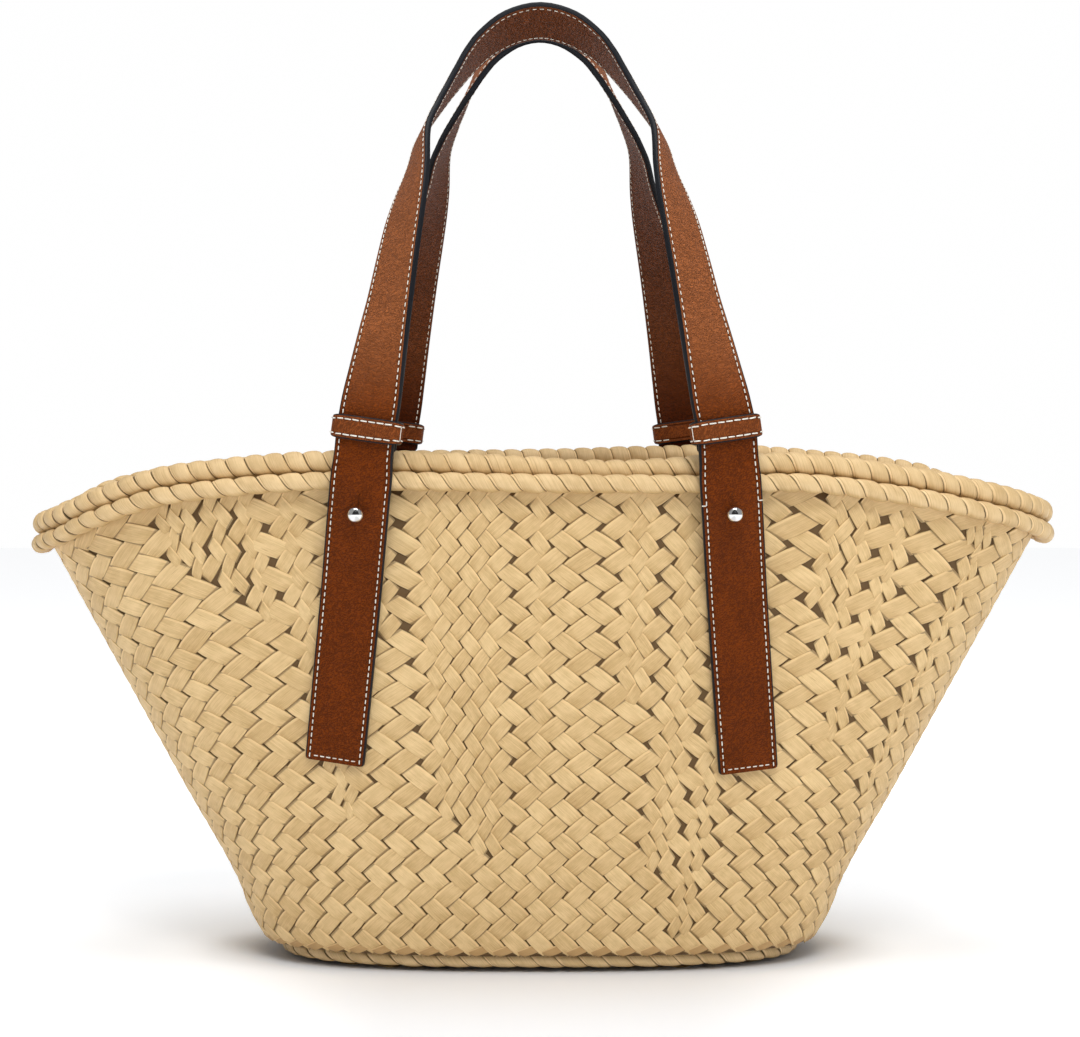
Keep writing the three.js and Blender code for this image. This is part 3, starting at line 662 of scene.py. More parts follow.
def swept(name, rings, closed, marks, v_marks, around):
    """A closed sweep whose UV map runs both ways from the middle of the outer face.
    marks and around: running lengths round the section; v_marks: the length up to each ring."""
    rings = np.asarray(rings)
    rows, columns = rings.shape[:2]
    faces = grid_faces(rows, columns, closed, True)
    if not closed:
        for ring, flip in ((0, 1), (rows - 1, -1)):
            faces.append(tuple(ring * columns + k for k in range(columns))[::flip])
    mesh = mesh_of(name, rings.reshape(-1, 3), faces)
    layer = mesh.uv_layers.new(name="cut").data
    for face in mesh.polygons:
        quad = len(face.vertices) == 4
        closing = quad and {vertex // columns for vertex in face.vertices} == {0, rows - 1}
        there = [marks[vertex % columns] for vertex in face.vertices]
        crossing = quad and max(there) - min(there) > around / 2
        for loop in face.loop_indices:
            row, column = divmod(mesh.loops[loop].vertex_index, columns)
            u = marks[column] + around if crossing and marks[column] < 0 else marks[column]
            v = v_marks[-1] if closing and row == 0 else v_marks[row]
            layer[loop].uv = (u * MM, v * MM)
    return mesh


def evaluated_mesh(thing):
    """The plain mesh of an object with its modifiers applied."""
    bpy.context.view_layer.update()
    graph = bpy.context.evaluated_depsgraph_get()
    return bpy.data.meshes.new_from_object(
        thing.evaluated_get(graph), preserve_all_data_layers=True, depsgraph=graph)


def laying_tree():
    """Lays shapes on places: each place has its directions, size and lean, and the tree adds chance."""
    group = bpy.data.node_groups.new("lay_on_places", "GeometryNodeTree")
    face = group.interface
    face.new_socket(name="Places", in_out="INPUT", socket_type="NodeSocketGeometry")
    face.new_socket(name="Laid", in_out="OUTPUT", socket_type="NodeSocketGeometry")
    for name, kind in (("Shape", "Object"), ("Leaning shape", "Object"), ("Turn spread", "Float"),
                       ("Size spread", "Float"), ("Seed", "Int"), ("Finish", "Material")):
        face.new_socket(name=name, in_out="INPUT", socket_type="NodeSocket" + kind)
    tree = Tree(group)
    start = group.nodes.new("NodeGroupInput")
    given = {socket.name: Wire(tree, socket) for socket in start.outputs if socket.name}

    def named(name, kind):
        return tree.add("GeometryNodeInputNamedAttribute", {"data_type": kind}, {"Name": name})

    def chance(low, high, offset):
        seed = tree.add("FunctionNodeIntegerMath", {"operation": "ADD"}, {0: given["Seed"], 1: offset})
        return tree.add("FunctionNodeRandomValue", {"data_type": "FLOAT"}, {2: low, 3: high, "Seed": seed}, 1)

    axes = tree.add("FunctionNodeAxesToRotation", {"primary_axis": "Z", "secondary_axis": "X"},
                    {0: named("out", "FLOAT_VECTOR"), 1: named("along", "FLOAT_VECTOR")})
    swing = tree.vector(0.0, 0.0, chance(-1.0, 1.0, 1) * given["Turn spread"])
    turned = tree.add("FunctionNodeRotateRotation", {"rotation_space": "LOCAL"}, {
        0: axes, 1: tree.add("FunctionNodeEulerToRotation", None, {0: swing})})
    grown = chance(-1.0, 1.0, 2) * given["Size spread"] + 1.0
    size = tree.add("ShaderNodeVectorMath", {"operation": "SCALE"},
                    {0: named("size", "FLOAT_VECTOR"), "Scale": grown})
    lean = named("lean", "FLOAT")
    laid = []
    for shape, chosen in (("Shape", 0.5 - lean), ("Leaning shape", lean - 0.5)):
        chosen = tree.add("FunctionNodeCompare", {"data_type": "FLOAT", "operation": "GREATER_THAN"},
                          {0: chosen, 1: 0.0})
        thing = tree.add("GeometryNodeObjectInfo", None, {"Object": given[shape]}, "Geometry")
        laid.append(tree.add("GeometryNodeInstanceOnPoints", None, {
            "Points": given["Places"], "Selection": chosen, "Instance": thing,
            "Rotation": turned, "Scale": size}))
    join = group.nodes.new("GeometryNodeJoinGeometry")
    for one in laid[::-1]:
        group.links.new(one.socket, join.inputs[0])
    stored = tree.add("GeometryNodeStoreNamedAttribute", {"data_type": "FLOAT", "domain": "INSTANCE"},
                      {"Geometry": Wire(tree, join.outputs[0]), "Name": "tint", "Value": chance(0.0, 1.0, 3)})
    real = tree.add("GeometryNodeRealizeInstances", None, {"Geometry": stored})
    done = tree.add("GeometryNodeSetMaterial", None, {"Geometry": real, "Material": given["Finish"]})
    end = group.nodes.new("NodeGroupOutput")
    group.links.new(done.socket, end.inputs["Laid"])
    return group


def lay(name, shapes, places, finish, turn_spread, size_spread, seed):
    """The plain mesh of shapes laid on places. places: dict of point, along, out, size and lean arrays."""
    count = len(places["point"])
    values = {"along": places["along"], "out": places["out"], "size": places["size"],
              "lean": places.get("lean", np.zeros(count))}
    carrier = bpy.data.objects.new(name + "_places", mesh_of(name, places["point"], [], values))
    bpy.context.scene.collection.objects.link(carrier)
    sources = []
    for mesh in shapes:
        source = bpy.data.objects.new(name + "_shape", mesh)
        bpy.context.scene.collection.objects.link(source)
        sources.append(source)
    group = bpy.data.node_groups.get("lay_on_places") or laying_tree()
    modifier = carrier.modifiers.new("lay", "NODES")
    modifier.node_group = group
    ways = {item.name: item.identifier for item in group.interface.items_tree if item.in_out == "INPUT"}
    modifier[ways["Shape"]] = sources[0]
    modifier[ways["Leaning shape"]] = sources[-1]
    modifier[ways["Turn spread"]] = float(turn_spread)
    modifier[ways["Size spread"]] = float(size_spread)
    modifier[ways["Seed"]] = int(seed)
    modifier[ways["Finish"]] = finish
    made = evaluated_mesh(carrier)
    if len(made.polygons) == 0:
        raise RuntimeError(f"{name}: nothing was laid on its places")
    made.name = name
    for thing in [carrier, *sources]:
        bpy.data.objects.remove(thing)
    for key in ("along", "out", "size"):
        if key in made.attributes:
            made.attributes.remove(made.attributes[key])
    return made


def leaf_tile(rising):
    """One float of the plait in tile pitches: its long upper side bows out and its ends dip under others."""
    steps_along = [-1.14, -0.93, -0.55, 0, 0.55, 0.93, 1.14]
    steps_across = [-1, -0.93, 0, 0.93, 1]
    points, strand, faces = [], [], []
    for a in steps_along:
        reach = min(abs(a), 1)
        dip = 1 - 0.6 * reach**3 if abs(a) < 1.1 else 0.1
        for b in steps_across:
            upper = (b < 0) == rising
            squeeze = 1.02 - 0.13 * reach**3 if upper else 0.98 - 0.1 * reach**4
            crown = 1 - 0.18 * (b / 0.93) ** 2
            x, y = 0.35 * a + 0.25 * b * squeeze, 0.5 * a - 0.357 * b * squeeze
            points.append((x, y if rising else -y, 0.0 if abs(b) > 0.95 else dip * crown))
            strand.append((-a, -b, 0) if rising else (a, b, 0))
    columns, rows = len(steps_across), len(steps_along)
    for face in grid_faces(rows, columns, False, False):
        faces.append(face[::-1] if rising else face)
    rim = list(range(columns)) + [row * columns + columns - 1 for row in range(1, rows)]
    rim += [(rows - 1) * columns + column for column in range(columns - 2, -1, -1)]
    rim += [row * columns for row in range(rows - 2, 0, -1)]
    faces.append(tuple(rim if rising else rim[::-1]))
    sharp = [(row * columns + column, (row + 1) * columns + column)
             for row in range(rows - 1) for column in (0, 1, 3, 4)]
    sharp += [(row * columns + column, row * columns + column + 1)
              for column in range(columns - 1) for row in (0, rows - 1)]
    return outward(mesh_of("leaf_tile", np.array(points) / MM, faces, {"strand": strand}, sharp))


def wrap_band(radius, around, cut):
    """One turn of leaf wound round a roll: it moves on by a pitch, so each turn runs into the next.
    cut: where on the section the turn starts, as a share of a turn from its outer side."""
    section = [(-0.5, 0.72), (-0.42, 0.83), (-0.25, 0.94), (0.0, 1.0), (0.22, 0.99),
               (0.38, 0.93), (0.465, 0.83), (0.5, 0.72), (0.0, 0.6)]
    points, strand = [], []
    for x, reach in section:
        for k in range(around + 1):
            turn = k / around + cut
            angle = TURN * turn
            wound = turn + 0.06 * math.sin(angle)
            points.append((x - wound, math.sin(angle) * radius * reach, math.cos(angle) * radius * reach))
            strand.append((-angle / 1.6, -x * 2, 0))
    rows, columns = len(section), around + 1
    faces = grid_faces(rows, columns, True, False)
    faces += [tuple(row * columns + k for row in range(rows)) for k in (0, around)]
    sharp = [(row * columns + k, row * columns + k + 1) for row in (0, 7) for k in range(around)]
    return outward(mesh_of("wrap_band", np.array(points), faces, {"strand": strand}, sharp))


def stitch_shape():
    """One stitch: a short round thread with tucked ends, a length and a width of one."""
    stations = [(-0.5, 0.4, -0.25), (-0.36, 0.86, 0.0), (0.36, 0.86, 0.0), (0.5, 0.4, -0.25)]
    points, strand = [], []
    sides = 6
    for x, reach, sink in stations:
        for k in range(sides):
            angle = TURN * k / sides
            points.append((x, math.sin(angle) * 0.5 * reach, math.cos(angle) * 0.5 * reach + sink))
            strand.append((x * 4, k / sides, 0))
    faces = grid_faces(len(stations), sides) + [tuple(range(sides)), tuple(range(3 * sides, 4 * sides))]
    mesh = mesh_of("stitch", np.array(points) / MM, faces, {"strand": strand})
    return outward(mesh)


def along_height(turn_count, height_low, height_high, steps=80):
    """For each turn, heights from high to low with the length of wall down to each."""
    turns = np.arange(turn_count + 1) / turn_count
    share = np.linspace(0, 1, steps + 1)[:, None]
    heights = height_high * (1 - share) + height_low * share
    line = wall_point(np.broadcast_to(turns, heights.shape), heights)
    down = np.linalg.norm(np.diff(line, axis=0), axis=-1)
    run = np.concatenate((np.zeros((1, turn_count + 1)), np.cumsum(down, 0)))
    return turns, heights, run


def plait_places(rows, pitch, top_of, bottom, face, thick, seed):
    """Places of the plait's tiles on the wall. Rows follow the rim above and the base below, and a tile
    is added to or left out of a row where the wall's width asks for it. The top row is painted darker, as
    shadow under the lower roll."""
    count = ROUND_STEPS
    turns = np.arange(count + 1) / count
    turns, heights, run = along_height(count, bottom, top_of(turns))
    chance = np.random.default_rng(seed)

    def height_at(level):
        wanted = run[-1] * level / (rows + 0.4)
        return np.array([np.interp(wanted[k], run[:, k], heights[:, k]) for k in range(count + 1)])

    parts = {key: [] for key in ("point", "along", "out", "size", "lean")}
    phase = None
    for row in range(rows, -1, -1):
        squash = TOP_SQUASH if row == rows else 1
        height = height_at(row + FIRST_ROW - (row == rows) * 0.5)
        line = wall_point(turns, height)
        length = running_length(line)
        wanted = length / length[-1] * round(length[-1] / pitch)
        if phase is None:
            phase = wanted
        else:
            owed = wanted - phase
            steps = int(round(owed[-1]))
            order = np.linspace(0, 1, count + 1)
            for step in range(abs(steps)):
                target = (step + 0.5) * np.sign(steps)
                reached = np.nonzero(owed * np.sign(steps) >= abs(target))[0]
                centre = order[reached[0]] if len(reached) else (step + 0.5) / max(abs(steps), 1)
                centre = float(np.clip(centre + chance.normal(0, INCREASE_SPREAD), 0.03, 0.97))
                half = INCREASE_HALF / wanted[-1]
                t = np.clip((order - centre) / (2 * half) + 0.5, 0, 1)
                phase = phase + np.sign(steps) * t * t * (3 - 2 * t)
        total = int(round(phase[-1]))
        marks = np.arange(total) + 0.25 + 0.5 * (row % 2)
        where = np.interp(marks % total, phase - phase[0], turns)
        there = np.interp(where, turns, height)
        place, along, out, up = wall_frame(where, there)
        speed = np.interp(where, (turns[1:] + turns[:-1]) / 2, np.diff(length) / np.diff(phase))
        row_height = np.interp(where, turns, run[-1]) / (rows + 0.4) * squash
        rise = np.interp(where, turns, np.gradient(height, length))
        tilted = unit(along + up * rise[:, None])
        parts["point"].append(place - out * (thick if face > 0 else WALL - thick))
        parts["along"].append(tilted)
        parts["out"].append(out * face)
        parts["size"].append(np.stack([speed, row_height, np.full(total, thick)], -1) * MM)
        # The top row's lean of TOP_SHADE paints it darker, as shadow under the lower roll.
        parts["lean"].append(np.full(total, TOP_SHADE if row == rows and row % 2 == 0 else float(row % 2)))
    return {key: np.concatenate(value) for key, value in parts.items()}


def flat_places(height, face, thick, pitch, row_height, inset):
    """Places of the bottom's tiles, in straight rows inside the foot's outline."""
    parts = {key: [] for key in ("point", "along", "out", "size", "lean")}
    length, depth = FOOT_LENGTH / 2 - inset, FOOT_DEPTH / 2 - inset
    for row in range(-int(depth // row_height) - 1, int(depth // row_height) + 2):
        y = (row + 0.75) * row_height
        marks = np.arange(-60, 60) * pitch + (0.25 + 0.5 * (row % 2)) * pitch
        inside = (np.abs(marks) / length) ** FOOT_POWER + (abs(y) / depth) ** FOOT_POWER < 1
        marks = marks[inside]
        count = len(marks)
        parts["point"].append(np.stack([marks, np.full(count, y), np.full(count, height)], -1))
        parts["along"].append(np.tile([1.0, 0, 0], (count, 1)))
        parts["out"].append(np.tile([0, 0, float(face)], (count, 1)))
        parts["size"].append(np.tile([pitch * MM, row_height * MM, thick * MM], (count, 1)))
        parts["lean"].append(np.full(count, float((row + (face < 0)) % 2)))
    return {key: np.concatenate(value) for key, value in parts.items()}


def shell_mesh(name, outer_depth, inner_depth, sides=120):
    """A thin closed shell inside the wall and the bottom, seen only through the plait's gaps, where it stands
    for their shade.
    """
    turns = np.arange(sides) / sides
    edge = rim_places(turns)[2]
    low = 2 * BASE_RADIUS + CLEARANCE + 1.2

    def ring(share, depth):
        place, _, out, _ = wall_frame(turns, low + (edge - 0.8 - low) * share)
        return place - out * depth

    def bottom_ring(inset, height):
        return oval(FOOT_LENGTH / 2, FOOT_DEPTH / 2, FOOT_POWER, turns, np.full(sides, -inset), height)

    shares = [0, 0.04, 0.1, 0.2, 0.32, 0.45, 0.58, 0.7, 0.82, 0.92, 1]
    rings = [bottom_ring(60, outer_depth), bottom_ring(9.5, outer_depth), bottom_ring(5.5, 6.9)]
    rings += [ring(share, outer_depth) for share in shares]
    rings += [ring(share, inner_depth) for share in shares[::-1]]
    rings += [bottom_ring(6.2, 7.0), bottom_ring(10.0, inner_depth), bottom_ring(60, inner_depth)]
    points = np.concatenate(rings)
    faces = grid_faces(len(rings), sides)
    faces += [tuple(range(sides)), tuple(range((len(rings) - 1) * sides, len(rings) * sides))]
    places = np.repeat(np.arange(len(rings)), sides)
    strand = np.stack([np.tile(turns * 90, len(rings)), places * 0.8, np.zeros(len(places))], -1)
    return outward(mesh_of(name, points, faces, {"strand": strand}))


def roll_places(middle_at, pitch):
    """Places for the wraps of a roll round the basket."""
    turns = np.linspace(0, 1, ROUND_STEPS + 1)
    line = middle_at(turns)
    length = running_length(line)
    count = round(length[-1] / pitch)
    where = np.interp(np.arange(count) / count * length[-1], length, turns)
    point = middle_at(where)
    along = unit(middle_at((where + 0.001) % 1) - middle_at((where - 0.001) % 1))
    out = unit(np.cross(along, [0.0, 0.0, 1.0]))
    size = np.tile([length[-1] / count, 1.0, 1.0], (count, 1))
    return {"point": point, "along": along, "out": out, "size": size}


def section_marks(width, thickness, round_off, outer=5):
    """A strip's section from the middle of its outer face round: (across, outward) and running lengths."""
    x, y, r = width / 2, thickness / 2, round_off
    half = [(x * k / outer * 0.94, y) for k in range(outer)]
    half += [(x - r, y), (x - 0.3 * r, y - 0.3 * r), (x, y - r)]
    side = half + [(a, -b) for a, b in half[::-1]]
    points = side + [(-a, b) for a, b in side[::-1][1:-1]]
    lengths = [0.0]
    for (a, b), (c, d) in zip(points, points[1:] + points[:1]):
        lengths.append(lengths[-1] + math.hypot(c - a, d - b))
    around = lengths[-1]
    marks = [u if u <= around / 2 else u - around for u in lengths[:-1]]
    return points, marks, around


def corner_inset(end):
    """How far a leather strip's side lies in, at this distance from its end, for its rounded corners."""
    return STRAP_CORNER - math.sqrt(max(STRAP_CORNER**2 - max(STRAP_CORNER - end, 0) ** 2, 0))


def strap_mesh(name, path, step):
    """A strap with rounded edges and corners, its stud holes and slits cut through."""
    places, lengths = path.lengths()
    total = lengths[-1]
    marks = [0.0, 0.25, 0.7, 1.5]
    marks += list(np.linspace(3.5, total - 3.5, int(total / step)))
    marks += [total - 1.5, total - 0.7, total - 0.25, total]
    points, u_marks, around = section_marks(STRAP_WIDTH, STRAP_THICKNESS, 0.75)
    rings = []
    for mark in marks:
        end = min(mark, total - mark)
        inset = corner_inset(end)
        thin = 0.35 * max(0.5 - end, 0)
        middle, _, across, outward_way = path.at(float(np.interp(mark, lengths, places)))
        half = STRAP_WIDTH / 2
        rings.append([middle + across * (w * (half - inset) / half) + outward_way * (t - np.sign(t) * thin)
                      for w, t in points])
    return outward(swept(name, rings, False, u_marks, marks, around))


def cutter(name, frame_at, round_holes, slot_size):
    """Closed cutting shapes on one place of a strap: round holes and a slit."""
    middle, across, up, outward_way = frame_at
    work_points, faces = [], []

    def prism(outline):
        start = len(work_points)
        for depth in (-4, 4):
            work_points.extend(middle + across * x + up * y + outward_way * depth for x, y in outline)
        count = len(outline)
        faces.extend((start + k, start + (k + 1) % count, start + count + (k + 1) % count, start + count + k)
                     for k in range(count))
        faces.append(tuple(range(start, start + count)))
        faces.append(tuple(range(start + count, start + 2 * count)))

    for radius, y in round_holes:
        prism([(radius * math.cos(TURN * k / 20), y + radius * math.sin(TURN * k / 20)) for k in range(20)])
    width, low, high = slot_size
    prism([(-width / 2, low), (width / 2, low), (width / 2, high), (-width / 2, high)])
    return outward(mesh_of(name, np.array(work_points), faces))


def cut_through(mesh, cutters):
    """The mesh with the cutting shapes taken away."""
    base = bpy.data.objects.new("strap_blank", mesh)
    bpy.context.scene.collection.objects.link(base)
    tools = []
    for k, one in enumerate(cutters):
        tool = bpy.data.objects.new(f"cutter_{k}", one)
        bpy.context.scene.collection.objects.link(tool)
        modifier = base.modifiers.new(f"cut_{k}", "BOOLEAN")
        modifier.operation, modifier.solver, modifier.object = "DIFFERENCE", "EXACT", tool
        modifier.use_self = True
        tools.append(tool)
    made = evaluated_mesh(base)
    for thing in [base, *tools]:
        bpy.data.objects.remove(thing)
    made.set_sharp_from_angle(angle=math.radians(50))
    return made


def strap_stitches(path, edge, pitch, length, width, bars):
    """Places for the stitches along both edges of a strap, on both faces, and across its two ends.
    bars: (side, height) of legs with one more stitch across each edge."""
    places, lengths = path.lengths()
    total = lengths[-1]
    parts = {key: [] for key in ("point", "along", "out")}

    def add(point, along, out):
        parts["point"].append(point)
        parts["along"].append(along)
        parts["out"].append(out)

    row = STRAP_WIDTH / 2 - edge
    count = round((total - 2 * edge) / pitch)
    for k in range(count + 1):
        mark = edge + (total - 2 * edge) * k / count
        middle, along, across, out = path.at(float(np.interp(mark, lengths, places)))
        for side in (-1, 1):
            for face in (-1, 1):
                add(middle + across * side * row + out * face * STRAP_THICKNESS / 2, along, out * face)
    end_count = round(2 * row / pitch)
    for mark in (edge, total - edge):
        middle, _, across, out = path.at(float(np.interp(mark, lengths, places)))
        for k in range(1, end_count):
            x = -row + 2 * row * k / end_count
            for face in (-1, 1):
                add(middle + across * x + out * face * STRAP_THICKNESS / 2, across, out * face)
    for side, height in bars:
        middle, across, _, out = path.upright(path.place_of(side, height))
        for way in (-1, 1):
            add(middle + across * way * (row + edge / 2) + out * STRAP_THICKNESS / 2, across, out)
    made = {key: np.array(rows) for key, rows in parts.items()}
    made["size"] = np.tile([length * MM, width * MM, width * MM], (len(made["point"]), 1))
    return made


def joined(name, meshes):
    """Several meshes as one, with their attributes and finishes kept."""
    things = []
    for mesh in meshes:
        thing = bpy.data.objects.new(name, mesh)
        bpy.context.scene.collection.objects.link(thing)
        things.append(thing)
    with bpy.context.temp_override(active_object=things[0], object=things[0],
                                   selected_objects=things, selected_editable_objects=things):
        bpy.ops.object.join()
    mesh = things[0].data
    bpy.data.objects.remove(things[0])
    mesh.name = name
    return mesh


def keeper_frame(leg):
    side, face = leg[0], leg[1]
    path = next(p for p in straps.values() if p.face == face)
    return path.upright(path.keeper if side < 0 else path.last - path.keeper)


def keeper_line():
    """The middle line of a keeper's leather, in its strap's section: (across, outward, length so far)."""
    inside = max(STRAP_WIDTH, BACKING_WIDTH) / 2 + KEEPER_ROOM
    depth = STRAP_THICKNESS + CLEARANCE + BACKING_THICKNESS + 2 * KEEPER_ROOM
    x, y = inside + KEEPER_LEATHER / 2, depth / 2 + KEEPER_LEATHER / 2
    corner_x, corner_y = x - KEEPER_CORNER, y - KEEPER_CORNER
    line = []
    for k in range(9):
        share = -1 + k / 4
        line.append((corner_x * share, y + KEEPER_BULGE * (1 - share**2)))
    for cx, cy, start in ((corner_x, corner_y, 90), (corner_x, -corner_y, 0),
                          (-corner_x, -corner_y, -90), (-corner_x, corner_y, -180)):
        for k in range(1 if start == 90 else 0, 7 if start != -180 else 6):
            angle = math.radians(start - 15 * k)
            line.append((cx + KEEPER_CORNER * math.cos(angle), cy + KEEPER_CORNER * math.sin(angle)))
    shift = -(CLEARANCE + BACKING_THICKNESS) / 2
    points = np.array([(a, b + shift) for a, b in line])
    start = int(np.argmin(np.abs(points[:, 0]) + (points[:, 1] < 0) * 99))
    points = np.roll(points, -start, axis=0)
    return points, running_length(np.vstack([points, points[:1]]))


def keeper_share(x):
    """How much of its width a keeper's leather keeps towards the turns round the strap's edges."""
    reach = max(STRAP_WIDTH, BACKING_WIDTH) / 2 + KEEPER_ROOM + KEEPER_LEATHER / 2
    return 1 - 0.13 * min(abs(x) / reach, 1) ** 8


def keeper_mesh(name, leg):
    """A loop of leather with soft edges, bulged a little at its front."""
    middle, across, up, out = keeper_frame(leg)
    line, lengths = keeper_line()
    count = len(line)
    strip, marks, around = section_marks(KEEPER_BAND, KEEPER_LEATHER, 0.9, 4)
    rings = []
    for k in range(count):
        tangent = line[(k + 1) % count] - line[k - 1]
        tangent /= np.linalg.norm(tangent)
        normal = np.array([-tangent[1], tangent[0]])
        if normal @ line[k] < 0:
            normal = -normal
        share = keeper_share(line[k][0])
        rings.append([middle + across * (line[k][0] + normal[0] * t) + out * (line[k][1] + normal[1] * t)
                      + up * w * share for w, t in strip])
    return outward(swept(name, rings, True, marks, list(lengths), around))


def keeper_stitches(leg, pitch, length, width):
    """Places for the two rows of stitches round a keeper's outer side, and one down its inner end."""
    middle, across, up, out = keeper_frame(leg)
    line, lengths = keeper_line()
    ring = np.vstack([line, line[:1]])
    parts = {key: [] for key in ("point", "along", "out")}
    reach = FRONT_SEWN if leg[1] < 0 else BACK_SEWN
    count = round(2 * reach / pitch)
    inner_end = math.copysign(INNER_END, -across[0] * leg[0])
    for mark in [-reach + 2 * reach * k / count for k in range(count + 1)] + [inner_end]:
        down = mark == inner_end
        mark %= lengths[-1]
        place = np.array([np.interp(mark, lengths, ring[:, c]) for c in (0, 1)])
        ahead = np.array([np.interp((mark + 0.6) % lengths[-1], lengths, ring[:, c]) for c in (0, 1)])
        tangent = (ahead - place) / np.linalg.norm(ahead - place)
        normal = np.array([-tangent[1], tangent[0]])
        if normal @ place < 0:
            normal = -normal
        way = across * tangent[0] + out * tangent[1]
        face = across * normal[0] + out * normal[1]
        spot = middle + across * place[0] + out * place[1] + face * KEEPER_LEATHER / 2
        for side in (0,) if down else (-1, 1):
            row = KEEPER_BAND / 2 - KEEPER_STITCH_EDGE
            parts["point"].append(spot + up * side * row * keeper_share(place[0]))
            parts["along"].append(up if down else way)
            parts["out"].append(face)
    made = {key: np.array(rows) for key, rows in parts.items()}
    made["size"] = np.tile([length * MM, width * MM, width * MM], (len(made["point"]), 1))
    made["size"][-1] = (KEEPER_BAND - 2 * KEEPER_STITCH_EDGE) * MM, width * MM * 0.6, width * MM * 0.6
    return made


def backing_mesh(name, leg):
    """The short second layer behind the strap, with rounded corners and edges."""
    middle, across, up, out = keeper_frame(leg)
    centre = middle - up * BACKING_DROP - out * (STRAP_THICKNESS / 2 + CLEARANCE + BACKING_THICKNESS / 2)
    outline, marks, around = section_marks(BACKING_WIDTH, BACKING_THICKNESS, 0.5)
    rings, places = [], []
    half = BACKING_LENGTH / 2
    for y in (-half, -half + 0.3, -half + 0.9, -half + 1.6, 0, half - 1.6, half - 0.9, half - 0.3, half):
        end = half - abs(y)
        inset = corner_inset(end)
        thin = 0.5 * max(0.6 - end, 0)
        wide = BACKING_WIDTH / 2
        rings.append([centre + across * (w * (wide - inset) / wide) + out * (t - np.sign(t) * thin) + up * y
                      for w, t in outline])
        places.append(y + half)
    return outward(swept(name, rings, False, marks, places, around))


def stud_mesh(name, leg, sides=40):
    """A ball stud turned from one profile: ball, neck, collar, post and inner head."""
    side, face = leg[0], leg[1]
    path = next(p for p in straps.values() if p.face == face)
    middle, across, up, out = path.upright(path.place_of(side, STUD_HEIGHT))
    point, reach = middle.copy(), 0.0
    for _ in range(30):
        turn = turn_at_across(side, face, abs(point[0]), point[2])
        reach += abs(point[1]) - abs(wall_point(turn, point[2])[1])
        point = middle - out * reach
    turn = turn_at_across(side, face, abs(point[0]), point[2])
    _, _, wall_out, _ = wall_frame(np.array(turn), np.array(point[2]))
    slant = math.acos(min(float(wall_out @ out), 1))
    ball, neck, top = BALL / 2, NECK / 2, -STRAP_THICKNESS / 2 - CLEARANCE
    ball_middle = STRAP_THICKNESS / 2 + NECK_LENGTH + math.sqrt(ball**2 - neck**2)
    head = -reach - WALL / math.cos(slant) - HEAD / 2 * math.tan(slant) - STUD_ROOM
    head_end, collar_end = head - HEAD_THICKNESS, top - COLLAR_THICKNESS
    profile = [(0.001, head_end), (HEAD / 2 - 1, head_end), (HEAD / 2 - 0.3, head - 1.0),
               (HEAD / 2, head - 0.6), (HEAD / 2, head - 0.15), (HEAD / 2 - 0.15, head), (POST / 2, head),
               (POST / 2, collar_end), (COLLAR / 2 - 0.2, collar_end), (COLLAR / 2, collar_end + 0.2),
               (COLLAR / 2, top - 0.2), (COLLAR / 2 - 0.2, top), (neck, top)]
    low = -math.acos(neck / ball)
    profile += [(ball * math.cos(angle), ball_middle + ball * math.sin(angle))
                for angle in np.linspace(low, math.pi / 2 - 0.001, 22)]
    rings = [[middle + out * z + (across * math.cos(TURN * k / sides) + up * math.sin(TURN * k / sides)) * r
              for k in range(sides)] for r, z in profile]
    points = np.array(rings).reshape(-1, 3)
    faces = grid_faces(len(profile), sides)
    faces += [tuple(range(sides)), tuple(range((len(profile) - 1) * sides, len(profile) * sides))]
    sharp = [(row * sides + k, row * sides + (k + 1) % sides)
             for row in (1, 6, 7, 8, 11, 12) for k in range(sides)]
    return outward(mesh_of(name, points, faces, None, sharp))


def colour_prop(name, description, default):
    return bpy.props.FloatVectorProperty(
        name=name, description=description, subtype="COLOR", size=3, min=0.0, max=1.0, default=default)


def length_prop(name, description, default):
    """A length in millimetres in this file, kept by Blender in metres."""
    return bpy.props.FloatProperty(
        name=name, description=description, default=default * MM,
        unit="LENGTH", subtype="DISTANCE", precision=5)


class BASKET_PG_leaf(bpy.types.PropertyGroup):
    """Sizes and colours of the plait and the wrapped rolls."""

    tile_pitch: length_prop("Tile pitch", "Distance between neighbouring tiles of a row", 11.5)
    tile_relief: length_prop("Tile relief", "How far a tile's crown stands above the gaps", 1.15)
    rows: bpy.props.IntProperty(
        name="Rows", description="Rows of tiles from the lower roll to the foot", default=28)
    upper_wrap: length_prop("Upper wrap", "Pitch of the leaf wound round the upper roll", 9.3)
    lower_wrap: length_prop("Lower wrap", "Pitch of the leaf wound round the lower roll", 10.7)
    base_wrap: length_prop("Base wrap", "Pitch of the leaf wound round the base roll", 11.2)
    light: colour_prop("Light leaf", "Colour of the palest leaf", (0.82, 0.595, 0.30))
    dark: colour_prop("Dark leaf", "Colour of the darkest leaf", (0.50, 0.315, 0.12))
    # brown also paints the shade at the tiles' edges and ends, in the seams between wraps, and the top row's
    # shadow under the lower roll.
    brown: colour_prop("Brown leaf", "Colour of streaks and leaf edges", (0.40, 0.22, 0.075))


